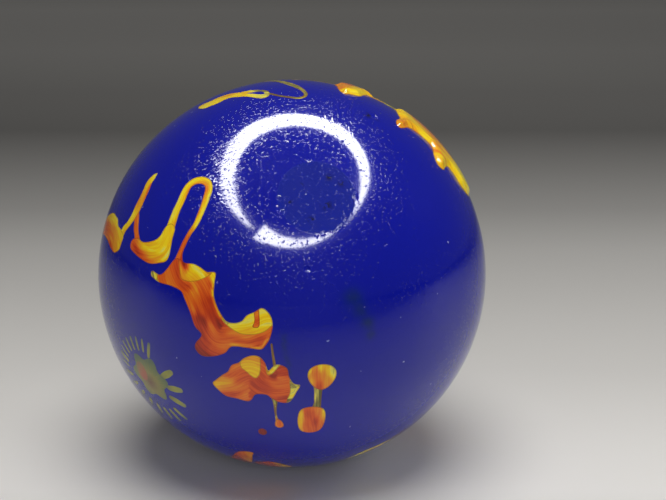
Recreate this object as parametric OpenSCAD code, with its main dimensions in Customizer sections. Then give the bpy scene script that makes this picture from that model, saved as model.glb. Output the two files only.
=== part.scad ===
// Handmade art glass marble: a solid cobalt blue glass ball with trails, flakes
// and drops of yellow, orange and red glass melted flush into its skin, flower
// slices from a patterned cane, and the ground flat where it left the pontil rod.
//
// Units are millimetres. The origin is the middle of the ball, +Z is up and -Y
// is the front, the side with the tall flake and the string of drops. Places on
// the ball are [longitude, latitude] in degrees: longitude 0 is the front and
// grows towards +X, latitude grows towards +Z.

/* [Ball] */
// Across the glass ball
ball_d = 42; // [35:0.5:50]
// Across the ground pontil flat
pontil_d = 7.6; // [4:0.1:12]
// Where the pontil flat faces, longitude and latitude
pontil_place = [8, 35.5];

/* [Let-in glass] */
// Depth of the flakes, blobs and drops
flake_depth = 0.9; // [0.3:0.1:2]
// Depth of the drawn threads
thread_depth = 0.5; // [0.2:0.1:1.5]
// Depth of a second colour laid over a flake
patch_depth = 0.45; // [0.1:0.05:1]

/* [Flower slices] */
// Petals round each flower's heart
petal_count = 6; // [4:1:9]
// Mean reach of the petals from the middle of the flower
petal_reach = 2.5; // [1.5:0.1:3.2]
// How far each petal swells in and out of that
petal_swell = 0.35; // [0:0.05:0.6]
// Thickness of the flower slices
flower_depth = 0.8; // [0.3:0.1:1.5]

/* [Hidden] */
$fn = 120;
R = ball_d / 2;
fit = ball_d / 42;              // the decoration grows and shrinks with the ball
pontil_rise = sqrt(R * R - pow(pontil_d / 2, 2));

cobalt = [0.03, 0.05, 0.42];
yellow = [0.90, 0.74, 0.06];
olive = [0.50, 0.52, 0.10];
orange = [0.87, 0.42, 0.08];
red = [0.74, 0.20, 0.10];

// ---- places the groups are measured from ----
left = [-60, 22];
trough_place = [-44, 19];
arch_place = [-33, 29];
tall = [-22, 5];
centre = [-8, -16];
drops = [7, -20];
crown = [-60, 72];
crest = [90, 70];
shoulder = [80, 45];
foot = [-20, -57];
foot_right = [40, -51];
front_flower = [-47.5, -22];
side_flower = [111, 2];
rear_flower = [-128, 42];
rear = [166, 24];
rear_low = [-112, -22];
hook_place = [-152, -8];
under = [112, -46];
under_left = [-160, -52];

// ---- outlines: [east, north] in mm over the skin, from the group's place ----
left_blob_line = [
    [-8, -1.5], [-7.5, -0.5], [-6, 0], [-4.25, 0.4], [-3, 0.25], [-2, 0],
    [-1.5, -0.5], [-0.5, -0.75], [0.5, -1.25], [0.5, -2], [0.25, -2.75],
    [-0.75, -3.25], [-2, -3], [-3.5, -2.5], [-5.5, -2.25], [-7.5, -2.25],
];
left_cap_line = [
    [-9, 1], [-4, 1], [-1.5, 0.5], [-0.5, -0.75], [-1, -1], [-2.5, -0.75],
    [-4, -0.5], [-9, -0.75],
];
// threads are [east, north, half width]
left_thread_line = [
    [0, -1.5, 0.5], [0.25, -0.6, 0.45], [0.75, 0, 0.4], [1.25, 1, 0.5],
    [1.4, 2, 0.6], [1.45, 3, 0.55], [1.35, 4, 0.55], [1.2, 4.75, 0.5],
    [1.4, 5.5, 0.35], [1.5, 5.75, 0.2],
];
left_leg_line = [
    [1.75, 1.25, 0.4], [2.1, 0.75, 0.4], [2.5, 0, 0.4], [2.9, -0.5, 0.35],
    [3.25, -1, 0.45], [3.5, -1.6, 0.5],
];
trough_line = [
    [-3, 0], [-3.25, -0.5], [-3, -1], [-2, -1.4], [-0.75, -1.75], [0.5, -1.9],
    [1.75, -1.6], [2.5, -1.25], [2.75, -0.5], [2.65, 1], [2.6, 2], [2, 2.4],
    [1.4, 2], [1, 1], [0.5, 0.5], [-0.5, 0.1], [-1.4, 0], [-2.2, 0.25],
];
trough_rim_line = [
    [-4, 1], [-1.75, 0.6], [-1.4, -0.25], [-1, -0.7], [-0.25, -1.1],
    [0.5, -1.3], [2, -1.4], [2, -2.5], [-1, -2.5], [-4, -2],
];
arch_line = [
    [-1.75, -2.25, 0.55], [-1.6, -1, 0.5], [-1.5, 0, 0.45], [-1.3, 1, 0.45],
    [-1.2, 2, 0.45], [-1, 2.8, 0.4], [-0.5, 3.3, 0.4], [0.25, 3.5, 0.4],
    [1, 3.3, 0.4], [1.4, 2.75, 0.4], [1.5, 2, 0.4], [1.5, 1, 0.35],
    [1.4, 0, 0.33], [1.2, -1, 0.28], [0.75, -2, 0.25], [0.4, -3, 0.26],
    [0.15, -4, 0.3], [0.1, -5, 0.6],
];
tall_line = [
    [-4.25, 4.25], [-3.5, 4.25], [-3, 4], [-2, 4], [-1.25, 3.75], [-0.5, 3.4],
    [0.4, 3.4], [0.4, 2.5], [0.4, 1.25], [0.75, 0.25], [1.25, -0.6],
    [1.75, -1.15], [2.5, -1.25], [3.25, -1], [3.75, -0.4], [4.5, 0],
    [5.25, 0.4], [6, -0.25], [6.25, -1.25], [6, -2.5], [5.5, -3.4], [5, -3.75],
    [3.75, -3.65], [2.25, -3.65], [1.5, -4.4], [0.25, -4.9], [-1, -5],
    [-1.65, -4.4], [-1.6, -3.75], [-0.9, -2.8], [-1.6, -2], [-2.1, -0.75],
    [-2.75, 0.5], [-3.25, 1.25], [-4.5, 1.6], [-6, 1.75], [-7.1, 2.25],
    [-7, 2.75], [-6, 2.5], [-5.25, 3],
];
tall_crest_line = [
    [-3.75, 5], [-3.5, 3], [-3.25, 2.4], [-2.5, 2.25], [-1.5, 2.4],
    [-0.75, 2.75], [0, 3.25], [0, 4], [-1, 5],
];
tall_toe_line = [
    [1.25, -0.9], [1.75, -1.5], [2.5, -2], [3.25, -2.3], [4.5, -2.25],
    [5.5, -1.9], [6.25, -1.25], [7, -1], [6.75, 1], [4, 1], [2, -0.5],
];
tall_fold_line = [
    [4.25, 1], [4.5, -0.75], [4.3, -1.5], [4.9, -1.5], [5, -0.75], [4.75, 1],
];
tall_heel_line = [
    [-1.5, -2.5], [-0.75, -2.75], [-0.25, -3], [0, -3.5], [0.25, -4.25],
    [0.25, -5.5], [-2, -5.5], [-2.25, -3.25],
];
tall_tail_line = [[-6.25, 3.5], [-6.25, 2.25], [-6, 1.5], [-8, 1.5], [-8, 3.5]];
centre_line = [
    [-5.1, -0.5], [-4.75, 0], [-4, 0.75], [-3.4, 1.25], [-3, 2], [-2.25, 2.4],
    [-1.75, 2.9], [-1, 3.25], [-0.25, 3.2], [0.3, 2.6], [0.6, 1.75], [1.1, 2.2],
    [1.6, 2.4], [2.4, 2], [2.6, 1], [3, 0.25], [3.6, 0], [3.25, -0.75],
    [2.5, -2], [1.5, -2], [0.75, -1.5], [0.25, -1.1], [-0.75, -1.15],
    [-1.25, -1.9], [-1.75, -2.1], [-2.75, -1.9], [-3.75, -1.8], [-4.5, -1.25],
];
centre_crest_line = [
    [-2.25, 3.75], [-2.1, 2], [-1.6, 1.5], [-0.75, 0.8], [-0.25, 1.25],
    [-0.1, 2.5], [-0.25, 3.75], [-1.25, 4],
];
centre_notch_line = [
    [0.5, 1.25], [0.4, 2.25], [1, 3], [2, 2.75], [1.5, 2], [1, 1.4],
];
centre_tip_line = [
    [2.75, 1], [4.25, 0.5], [4, -1], [3.25, -2.5], [2.25, -2.5],
    [2.25, -1.75], [2.6, -0.75],
];
centre_drip_line = [
    [1.1, -1.5, 0.35], [1.1, -2.25, 0.2], [1.05, -3.25, 0.12],
    [1.1, -4.25, 0.12], [1.25, -4.75, 0.35], [1.3, -5.25, 0.45],
];
centre_thread_line = [[1, 4.5, 0.1], [1.1, 3.5, 0.12], [1.25, 2.2, 0.15]];
upper_drop_line = pebble([0.4, 2.4], 2.75, 2.9, 0.25, 1);
lower_drop_line = pebble([-0.35, -3.1], 2.75, 3.9, 0.1, 0.75);
stem_line = [
    [0.1, 1.5, 0.5], [0.1, 0.75, 0.4], [0.1, 0, 0.37], [0.1, -0.75, 0.37],
    [0, -1.5, 0.5],
];
crown_line = [
    [-2.75, -3.5], [-1.5, -3.5], [-1, -3], [-0.5, -2.25], [-0.25, -1],
    [0.9, -0.25], [1.75, 0.2], [2.75, 0.5], [3.6, 1], [3.5, 1.75], [2.75, 2.25],
    [2, 2.4], [1, 2], [0.25, 1.5], [-0.5, 0.6], [-1.75, -0.1], [-2.4, -1],
    [-2.75, -2], [-3.4, -2.9],
];
crown_slot_line = [
    [0.75, 0.7], [1.25, 1.4], [1.75, 1.85], [2.4, 1.9], [2.7, 1.6],
    [2.25, 1.2], [1.4, 0.9],
];
crown_loop_line = [
    [-3.4, 5, 0.25], [-2, 5.4, 0.4], [-0.4, 5.5, 0.42], [1.25, 5.45, 0.42],
    [2.9, 5.5, 0.36], [4.25, 5.4, 0.26], [5.25, 5.1, 0.2], [5.8, 4.5, 0.2],
    [5.8, 3.8, 0.22], [5.25, 3.25, 0.2], [4.4, 2.6, 0.18], [3, 2.1, 0.2],
];
ridge_line = [
    [1.5, 7.25, 0.12], [2.5, 6, 0.16], [2.6, 4.5, 0.18], [2.4, 3.25, 0.18],
    [1.5, 1.75, 0.2],
];
crown_flake_line = [
    [0, 2.6], [-1.25, 2.5], [-2.5, 2.25], [-3.1, 1.75], [-2.75, 1.25],
    [-2.4, 0.5], [-2, 0], [-0.75, -0.4], [0.75, -1], [1.5, -1.75],
    [2.25, -0.75], [2.6, 0.75], [2.25, 2], [1, 2.75],
];
crown_head_line = [
    [-2.5, 3.5], [-1.75, 2.25], [-1, 2], [0, 1.6], [1.25, 1.1], [3.5, 0.5],
    [3.5, 3.5], [0, 4],
];
crown_near_line = [
    [0.75, -0.75, 0.3], [0.9, -2, 0.27], [0.9, -3, 0.25], [0.9, -4, 0.28],
    [1.25, -4.75, 0.35],
];
crown_far_line = [
    [1.75, -1, 0.2], [2.25, -2.5, 0.2], [2.4, -3.75, 0.22], [2.25, -5, 0.25],
];
shoulder_line = [
    [3, 5.25], [1.5, 5], [0, 4.6], [-1, 4.25], [-2.5, 4.4], [-3.5, 4.15],
    [-3.75, 3.6], [-3, 3.25], [-2, 2.9], [-1.5, 2], [-1.25, 0.75],
    [-1.5, -0.25], [-3, -0.9], [-3.9, -1.75], [-3.6, -2.6], [-2.5, -2.65],
    [-1.5, -2.9], [-1.25, -4], [-1.25, -5.25], [-0.25, -6.5], [0.75, -7],
    [1.75, -6], [2.5, -4], [3.25, -1.5], [4, 1.5], [4.25, 4],
];
shoulder_knob_line = [
    [-4.75, 5], [-1.75, 5], [-1.25, 3.75], [-1.75, 2.25], [-4.75, 2.5],
];
shoulder_tail_line = [
    [-2.5, -3], [0.5, -3.25], [4.25, -2.5], [3.5, -8], [-2, -8],
];
foot_flake_line = [
    [-2.5, 0.5], [-1.75, 2], [-0.75, 3.4], [0.25, 3.9], [1, 3.75], [0.75, 3],
    [0.4, 2], [0, 0.75], [-0.75, -1], [-1.75, -1.5], [-2.75, -0.75],
];
foot_lip_line = [
    [0, 0], [1, 0.6], [2, 0.9], [2.75, 0.25], [3.25, -1], [3.5, -2],
    [2.25, -2.75], [1, -2.25], [0, -1.25],
];
foot_trail_line = [
    [-1, -3.5, 0.3], [-0.9, -2.25, 0.6], [-0.75, -1, 0.75], [-0.1, -0.4, 0.75],
    [0.75, 0.1, 0.65], [1.5, 0.75, 0.5], [2.25, 1.5, 0.35], [3, 2.5, 0.2],
];
// the side away from the front, in the same manner
rear_line = [
    [-4.2, 3.4], [-3.0, 4.2], [-1.6, 3.6], [-0.2, 3.9], [0.6, 2.8], [0.2, 1.4],
    [0.9, 0.2], [2.2, -0.6], [3.9, -0.4], [4.8, -1.3], [4.1, -2.6], [2.3, -2.9],
    [0.6, -3.6], [-0.9, -4.4], [-1.8, -3.4], [-1.5, -1.8], [-2.4, -0.4],
    [-3.0, 1.0], [-4.9, 1.6], [-5.4, 2.6],
];
rear_crest_line = [
    [-3.4, 4.9], [-3.1, 3.0], [-2.2, 2.3], [-1.0, 2.4], [0.4, 2.9], [1.2, 4.6],
    [-1.0, 4.8],
];
rear_wave_line = [
    [-4.6, 4.2, 0.25], [-3.9, 2.6, 0.50], [-3.4, 0.6, 0.60], [-3.0, -1.4, 0.75],
    [-1.8, -2.8, 0.95], [-0.2, -2.4, 0.85], [0.4, -0.8, 0.55], [0.6, 1.2, 0.42],
    [1.2, 3.0, 0.38], [2.3, 3.5, 0.38], [3.0, 2.3, 0.35], [3.1, 0.4, 0.28],
    [3.6, -1.6, 0.30], [4.4, -3.2, 0.22],
];
rear_hook_line = [
    [-2.6, -2.6, 0.30], [-2.4, -0.8, 0.45], [-1.6, 0.9, 0.60], [0.0, 1.6, 0.70],
    [1.4, 0.9, 0.50], [1.7, -0.5, 0.35], [1.1, -1.6, 0.30],
];
under_flake_line = [
    [-3.4, -0.4], [-2.6, 1.0], [-1.0, 1.6], [0.4, 1.2], [1.6, 1.8], [3.0, 1.0],
    [3.4, -0.4], [2.2, -1.2], [0.8, -0.8], [-0.6, -1.8], [-2.0, -1.6],
];
under_trail_line = [
    [-4.4, 1.2, 0.25], [-2.8, 0.4, 0.50], [-1.2, 0.6, 0.65], [0.4, 0.0, 0.60],
    [1.8, -1.0, 0.45], [3.4, -0.8, 0.40], [4.6, 0.2, 0.22],
];

// rays of the front flower: [bearing, near end, far end, half width]
front_rays = concat(
    [for (a = [84 : 12 : 168]) [a, 3.8, 5.1, a == 156 ? 0.3 : 0.16]],
    [[72, 3.5, 5.1, 0.22]],
    [for (a = [-28 : 28 : 28]) [a, 2.9, 4.4, 0.4]],
    [for (a = [-175 : 17 : -56]) [a, 3.7, 5.2, 0.26]]);
// the hidden flowers are taken as cut from the same cane, evenly rayed
cane_rays = [for (a = [0 : 20 : 340]) [a, 3.7, 5.0, 0.26]];

// ---- curves ----
function bulge(part_way, squareness) = sign(part_way) * pow(abs(part_way), squareness);
// a round drop: taper widens its top, and a squareness under 1 fills its corners
function pebble(middle, across, along, taper, squareness) = [
    for (a = [0 : 30 : 330]) [
        middle[0] + across / 2 * bulge(cos(a), squareness) * (1 + taper * sin(a)),
        middle[1] + along / 2 * bulge(sin(a), squareness),
    ]
];
// One point of a smooth curve through b and c
function bend(a, b, c, d, t) =
    0.5 * (2 * b + (c - a) * t + (2 * a - 5 * b + 4 * c - d) * t * t
        + (3 * b - a - 3 * c + d) * t * t * t);

// Closed smooth outline through the points
function smooth_loop(pts, steps = 2) =
    let (n = len(pts))
    [for (i = [0 : n - 1], s = [0 : steps - 1])
        bend(pts[(i + n - 1) % n], pts[i], pts[(i + 1) % n], pts[(i + 2) % n], s / steps)];

// Open smooth line through the points, ends included
function smooth_line(pts, steps = 2) =
    let (n = len(pts))
    concat(
        [for (i = [0 : n - 2], s = [0 : steps - 1])
            bend(pts[max(i - 1, 0)], pts[i], pts[i + 1], pts[min(i + 2, n - 1)], s / steps)],
        [pts[n - 1]]);

function heading(line, i) =
    let (a = line[max(i - 1, 0)], b = line[min(i + 1, len(line) - 1)])
    atan2(b[1] - a[1], b[0] - a[0]);

function beside(p, turn, out) = [p[0] + out * cos(turn), p[1] + out * sin(turn)];

// Outline of a drawn thread: both sides and a round end at each tip
function thread_outline(pts) =
    let (line = smooth_line(pts), n = len(line),
         first = heading(line, 0), last = heading(line, n - 1))
    concat(
        [for (i = [0 : n - 1]) beside(line[i], heading(line, i) - 90, line[i][2])],
        [for (a = [-45 : 45 : 45]) beside(line[n - 1], last + a, line[n - 1][2])],
        [for (i = [n - 1 : -1 : 0]) beside(line[i], heading(line, i) + 90, line[i][2])],
        [for (a = [135 : 45 : 225]) beside(line[0], first + a, line[0][2])]);

// A point given along the skin, as seen looking straight down on the place
function seen(p) =
    let (run = norm([p[0], p[1]]) * fit)
    run == 0 ? [0, 0] : [p[0], p[1]] * fit * (R * sin(run / R * 180 / PI) / run);

// ---- solids ----
module at(place) {
    rotate([90 - place[1], 0, place[0]]) children();
}

// Everything straight below an outline
module under_outline(place, outline) {
    at(place)
        translate([0, 0, R / 2])
            linear_extrude(height = R)
                polygon([for (p = outline) seen(p)]);
}

module patch(place, line) {
    under_outline(place, smooth_loop(line));
}

module thread(place, line) {
    under_outline(place, thread_outline(line));
}

// The part of its children that lies in the ball's outermost layer
module skin(depth) {
    intersection() {
        difference() {
            sphere(r = R);
            sphere(r = R - depth);
        }
        union() {
            children();
        }
    }
}

module spot(place, middle, across, along) {
    under_outline(place, [for (a = [0 : 20 : 340])
        [middle[0] + across / 2 * cos(a), middle[1] + along / 2 * sin(a)]]);
}

// ---- reaches of the whole pieces ----
module left_blob_reach() { patch(left, left_blob_line); }
module left_thread_reach() { thread(left, left_thread_line); }
module left_leg_reach() { thread(left, left_leg_line); }
module trough_reach() { patch(trough_place, trough_line); }
module arch_reach() { thread(arch_place, arch_line); }
module tall_reach() { patch(tall, tall_line); }
module centre_reach() { patch(centre, centre_line); }
module centre_spot_reach() { spot(centre, [-3.9, -0.25], 1.2, 0.9); }
module red_dot_reach() { spot(centre, [-0.5, -6.5], 0.9, 1.1); }
module drip_reach() { thread(centre, centre_drip_line); }
module centre_thread_reach() { thread(centre, centre_thread_line); }
module upper_drop_reach() { patch(drops, upper_drop_line); }
module upper_heart_reach() { spot(drops, [-0.1, 2.75], 1.3, 1.3); }
module stem_reach() { thread(drops, stem_line); }
module lower_drop_reach() { patch(drops, lower_drop_line); }
module crown_reach() {
    difference() {
        patch(crown, crown_line);
        patch(crown, crown_slot_line);
    }
}
module crown_loop_reach() { thread(crown, crown_loop_line); }
module ridge_reach() { thread(crest, ridge_line); }
module crown_flake_reach() { patch(crest, crown_flake_line); }
module crown_threads_reach() {
    thread(crest, crown_near_line);
    thread(crest, crown_far_line);
}
module shoulder_reach() { patch(shoulder, shoulder_line); }

// ---- flower slices ----
function petal_edge(i) =
    let (a = i * 10, r = petal_reach + petal_swell * cos(petal_count * a))
    [0.1 + r * cos(a), 0.6 + r * sin(a)];

module petals_reach(place) {
    under_outline(place, [for (i = [0 : 35]) petal_edge(i)]);
}

module heart_reach(place) {
    spot(place, [-0.9, 1.1], 1.6, 2.3);
}

module rays_reach(place, rays) {
    for (ray = rays)
        thread(place, [
            [ray[1] * cos(ray[0]), ray[1] * sin(ray[0]), ray[3] * 0.8],
            [(ray[1] + ray[2]) / 2 * cos(ray[0]), (ray[1] + ray[2]) / 2 * sin(ray[0]), ray[3]],
            [ray[2] * cos(ray[0]), ray[2] * sin(ray[0]), ray[3] * 0.8],
        ]);
}

module flower_heart(place) {
    color(red) skin(flower_depth) heart_reach(place);
}

module flower_petals(place) {
    color(olive) difference() {
        skin(flower_depth) petals_reach(place);
        heart_reach(place);
    }
}

module flower_rays(place, rays) {
    color(yellow) difference() {
        skin(flower_depth) rays_reach(place, rays);
        petals_reach(place);
    }
}

// ---- the ball ----
module ball() {
    color(cobalt) difference() {
        sphere(r = R);
        at(pontil_place) translate([0, 0, pontil_rise]) cylinder(r = pontil_d, h = R);
        skin(flake_depth) {
            left_blob_reach();
            trough_reach();
            tall_reach();
            centre_reach();
            red_dot_reach();
            upper_drop_reach();
            lower_drop_reach();
            crown_reach();
            crown_flake_reach();
            shoulder_reach();
            patch(foot, foot_flake_line);
            patch(foot, foot_lip_line);
            patch(rear, rear_line);
            patch(under, under_flake_line);
        }
        skin(thread_depth) {
            left_thread_reach();
            left_leg_reach();
            arch_reach();
            drip_reach();
            centre_thread_reach();
            stem_reach();
            crown_loop_reach();
            ridge_reach();
            crown_threads_reach();
            thread(foot_right, foot_trail_line);
            thread(rear_low, rear_wave_line);
            thread(hook_place, rear_hook_line);
            thread(under_left, under_trail_line);
        }
        skin(flower_depth) {
            petals_reach(front_flower);
            rays_reach(front_flower, front_rays);
            petals_reach(side_flower);
            rays_reach(side_flower, cane_rays);
            petals_reach(rear_flower);
            rays_reach(rear_flower, cane_rays);
        }
    }
}

// ---- left of the front ----
module left_blob() {
    color(orange) difference() {
        skin(flake_depth) left_blob_reach();
        skin(patch_depth) patch(left, left_cap_line);
    }
}

module left_blob_cap() {
    color(yellow) skin(patch_depth) intersection() {
        left_blob_reach();
        patch(left, left_cap_line);
    }
}

module left_thread() {
    color(yellow) difference() {
        skin(thread_depth) left_thread_reach();
        left_blob_reach();
    }
}

module left_leg() {
    color(orange) difference() {
        skin(thread_depth) left_leg_reach();
        left_thread_reach();
        trough_reach();
    }
}

module trough() {
    color(yellow) difference() {
        skin(flake_depth) trough_reach();
        skin(patch_depth) patch(trough_place, trough_rim_line);
    }
}

module trough_rim() {
    color(red) skin(patch_depth) intersection() {
        trough_reach();
        patch(trough_place, trough_rim_line);
    }
}

module arch() {
    color(yellow) difference() {
        skin(thread_depth) arch_reach();
        trough_reach();
        tall_reach();
    }
}

// ---- the tall flake ----
module tall_flake() {
    color(orange) difference() {
        skin(flake_depth) tall_reach();
        skin(patch_depth) {
            patch(tall, tall_crest_line);
            patch(tall, tall_toe_line);
            patch(tall, tall_heel_line);
            patch(tall, tall_tail_line);
        }
    }
}

module tall_patch(line) {
    skin(patch_depth) intersection() {
        tall_reach();
        patch(tall, line);
    }
}

module tall_crest() { color(yellow) tall_patch(tall_crest_line); }
module tall_toe() {
    color(yellow) difference() {
        tall_patch(tall_toe_line);
        patch(tall, tall_fold_line);
    }
}
module tall_fold() {
    color(red) intersection() {
        tall_patch(tall_toe_line);
        patch(tall, tall_fold_line);
    }
}
module tall_heel() { color(red) tall_patch(tall_heel_line); }
module tall_tail() { color(olive) tall_patch(tall_tail_line); }

// ---- the flake low at the front and what runs from it ----
module centre_flake() {
    color(orange) difference() {
        skin(flake_depth) centre_reach();
        skin(patch_depth) {
            patch(centre, centre_crest_line);
            patch(centre, centre_notch_line);
            centre_spot_reach();
            patch(centre, centre_tip_line);
        }
    }
}

module centre_patch(line) {
    skin(patch_depth) intersection() {
        centre_reach();
        patch(centre, line);
    }
}

module centre_crest() { color(yellow) centre_patch(centre_crest_line); }
module centre_notch() { color(yellow) centre_patch(centre_notch_line); }
module centre_spot() {
    color(yellow) skin(patch_depth) intersection() {
        centre_reach();
        centre_spot_reach();
    }
}
module centre_tip() { color(olive) centre_patch(centre_tip_line); }
module centre_drip() {
    color(olive) difference() {
        skin(thread_depth) drip_reach();
        centre_reach();
    }
}
module centre_thread() {
    color(olive) difference() {
        skin(thread_depth) centre_thread_reach();
        centre_reach();
    }
}
module red_dot() { color(red) skin(flake_depth) red_dot_reach(); }

// ---- the string of two drops ----
module upper_drop() {
    color(yellow) difference() {
        skin(flake_depth) upper_drop_reach();
        skin(patch_depth) upper_heart_reach();
    }
}
module upper_drop_heart() {
    color(orange) skin(patch_depth) intersection() {
        upper_drop_reach();
        upper_heart_reach();
    }
}
module drop_stem() {
    color(olive) difference() {
        skin(thread_depth) stem_reach();
        upper_drop_reach();
        lower_drop_reach();
    }
}
module lower_drop() { color(orange) skin(flake_depth) lower_drop_reach(); }

// ---- round the top ----
module crown_trail() { color(yellow) skin(flake_depth) crown_reach(); }
module crown_loop() {
    color(olive) difference() {
        skin(thread_depth) crown_loop_reach();
        crown_reach();
    }
}
module ridge_thread() {
    color(olive) difference() {
        skin(thread_depth) ridge_reach();
        crown_flake_reach();
    }
}
module crown_flake() {
    color(yellow) difference() {
        skin(flake_depth) crown_flake_reach();
        skin(patch_depth) patch(crest, crown_head_line);
    }
}
module crown_flake_head() {
    color(orange) skin(patch_depth) intersection() {
        crown_flake_reach();
        patch(crest, crown_head_line);
    }
}
module crown_threads() {
    color(olive) difference() {
        skin(thread_depth) crown_threads_reach();
        crown_flake_reach();
        shoulder_reach();
    }
}
module shoulder_trail() {
    color(yellow) difference() {
        skin(flake_depth) shoulder_reach();
        skin(patch_depth) {
            patch(shoulder, shoulder_knob_line);
            patch(shoulder, shoulder_tail_line);
        }
    }
}
module shoulder_knob() {
    color(orange) skin(patch_depth) intersection() {
        shoulder_reach();
        patch(shoulder, shoulder_knob_line);
    }
}
module shoulder_tail() {
    color(olive) skin(patch_depth) intersection() {
        shoulder_reach();
        patch(shoulder, shoulder_tail_line);
    }
}

// ---- low down ----
module foot_flake() { color(orange) skin(flake_depth) patch(foot, foot_flake_line); }
module foot_lip() {
    color(red) difference() {
        skin(flake_depth) patch(foot, foot_lip_line);
        patch(foot, foot_flake_line);
    }
}
module foot_trail() { color(olive) skin(thread_depth) thread(foot_right, foot_trail_line); }

// ---- flowers ----
module front_flower_heart() { flower_heart(front_flower); }
module front_flower_petals() { flower_petals(front_flower); }
module front_flower_rays() { flower_rays(front_flower, front_rays); }
module side_flower_heart() { flower_heart(side_flower); }
module side_flower_petals() { flower_petals(side_flower); }
module side_flower_rays() { flower_rays(side_flower, cane_rays); }
module rear_flower_heart() { flower_heart(rear_flower); }
module rear_flower_petals() { flower_petals(rear_flower); }
module rear_flower_rays() { flower_rays(rear_flower, cane_rays); }

// ---- the hidden side ----
module rear_flake() {
    color(orange) difference() {
        skin(flake_depth) patch(rear, rear_line);
        skin(patch_depth) patch(rear, rear_crest_line);
    }
}
module rear_flake_crest() {
    color(yellow) skin(patch_depth) intersection() {
        patch(rear, rear_line);
        patch(rear, rear_crest_line);
    }
}
module rear_wave() { color(yellow) skin(thread_depth) thread(rear_low, rear_wave_line); }
module rear_hook() { color(orange) skin(thread_depth) thread(hook_place, rear_hook_line); }
module under_flake() { color(orange) skin(flake_depth) patch(under, under_flake_line); }
module under_trail() { color(yellow) skin(thread_depth) thread(under_left, under_trail_line); }

ball();
left_blob();
left_blob_cap();
left_thread();
left_leg();
trough();
trough_rim();
arch();
tall_flake();
tall_crest();
tall_toe();
tall_fold();
tall_heel();
tall_tail();
centre_flake();
centre_crest();
centre_notch();
centre_spot();
centre_tip();
centre_drip();
centre_thread();
red_dot();
upper_drop();
upper_drop_heart();
drop_stem();
lower_drop();
crown_trail();
crown_loop();
ridge_thread();
crown_flake();
crown_flake_head();
crown_threads();
shoulder_trail();
shoulder_knob();
shoulder_tail();
foot_flake();
foot_lip();
foot_trail();
front_flower_heart();
front_flower_petals();
front_flower_rays();
side_flower_heart();
side_flower_petals();
side_flower_rays();
rear_flower_heart();
rear_flower_petals();
rear_flower_rays();
rear_flake();
rear_flake_crest();
rear_wave();
rear_hook();
under_flake();
under_trail();
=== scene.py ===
"""Looks of a handmade cobalt glass marble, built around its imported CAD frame.

The ball and every piece of coloured glass in its skin are closed meshes built
here. Lengths are millimetres until a mesh is made, which is in metres. A place
on the ball is (longitude, latitude) in degrees: longitude 0 is the front (-Y)
and grows towards +X. A point of an outline is (east, north) in mm over the
skin from its group's place, and a thread's points add a half width.
"""
import math
import random

import bmesh
import bpy
import numpy as np
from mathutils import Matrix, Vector
from mathutils.geometry import delaunay_2d_cdt


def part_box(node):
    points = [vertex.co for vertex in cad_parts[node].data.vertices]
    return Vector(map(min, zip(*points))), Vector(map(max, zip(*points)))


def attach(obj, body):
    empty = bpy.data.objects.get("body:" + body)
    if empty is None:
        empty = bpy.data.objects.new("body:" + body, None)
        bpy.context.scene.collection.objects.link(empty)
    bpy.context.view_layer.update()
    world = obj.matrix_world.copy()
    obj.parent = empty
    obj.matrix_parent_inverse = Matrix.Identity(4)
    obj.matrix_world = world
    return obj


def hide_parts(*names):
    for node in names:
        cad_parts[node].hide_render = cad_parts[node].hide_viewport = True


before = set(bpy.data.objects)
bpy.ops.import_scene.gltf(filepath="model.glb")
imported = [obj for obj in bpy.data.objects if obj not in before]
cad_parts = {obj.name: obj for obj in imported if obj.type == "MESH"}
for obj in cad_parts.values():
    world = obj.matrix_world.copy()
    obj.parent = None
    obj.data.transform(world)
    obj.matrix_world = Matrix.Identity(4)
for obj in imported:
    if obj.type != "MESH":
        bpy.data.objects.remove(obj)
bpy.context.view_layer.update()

random.seed(42)
rng = np.random.default_rng(42)

MM = 0.001
ball_low, ball_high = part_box("ball")
R = (ball_high.z - ball_low.z) / 2 / MM
FLAKE_DEPTH = 0.9
THREAD_DEPTH = 0.5
PATCH_DEPTH = 0.45
FLOWER_DEPTH = 0.8
FOLD_DEPTH = 0.6
CUT_DEPTH = 1.6             # a cutting tool reaches below every piece
PROUD = 0.008               # how far the coloured glass stands out of the ball
PONTIL_PLACE = (8, 35.5)
PONTIL_R = 3.8
PONTIL_RISE = math.sqrt(R * R - PONTIL_R * PONTIL_R)


# ------------------------------------------------------------- places
def unit(v):
    v = np.asarray(v, float)
    return v / np.linalg.norm(v)


def axes_at(place):
    lon, lat = math.radians(place[0]), math.radians(place[1])
    up = np.array([math.sin(lon) * math.cos(lat), -math.cos(lon) * math.cos(lat), math.sin(lat)])
    east = np.array([math.cos(lon), math.sin(lon), 0.0])
    return east, np.cross(up, east), up


def directions(place, points):
    """Unit directions of skin points given in mm east and north of a place."""
    east, north, up = axes_at(place)
    p = np.asarray(points, float)[:, :2]
    run = np.hypot(p[:, 0], p[:, 1])
    turn = run / R
    k = np.where(run > 1e-9, np.sin(turn) / np.maximum(run, 1e-9), 1 / R)
    return (np.cos(turn)[:, None] * up + (k * p[:, 0])[:, None] * east
            + (k * p[:, 1])[:, None] * north)


def over_skin(place, dirs):
    """The reverse of directions(): mm east and north of the place."""
    east, north, up = axes_at(place)
    x, y = dirs @ east, dirs @ north
    h = np.hypot(x, y)
    turn = np.arctan2(h, dirs @ up)
    k = np.where(h > 1e-9, turn * R / np.maximum(h, 1e-9), R)
    return np.stack([x * k, y * k], 1)


# ------------------------------------------------------------- outlines
def bend(a, b, c, d, t):
    return 0.5 * (2 * b + (c - a) * t + (2 * a - 5 * b + 4 * c - d) * t * t
                  + (3 * b - a - 3 * c + d) * t ** 3)


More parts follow.
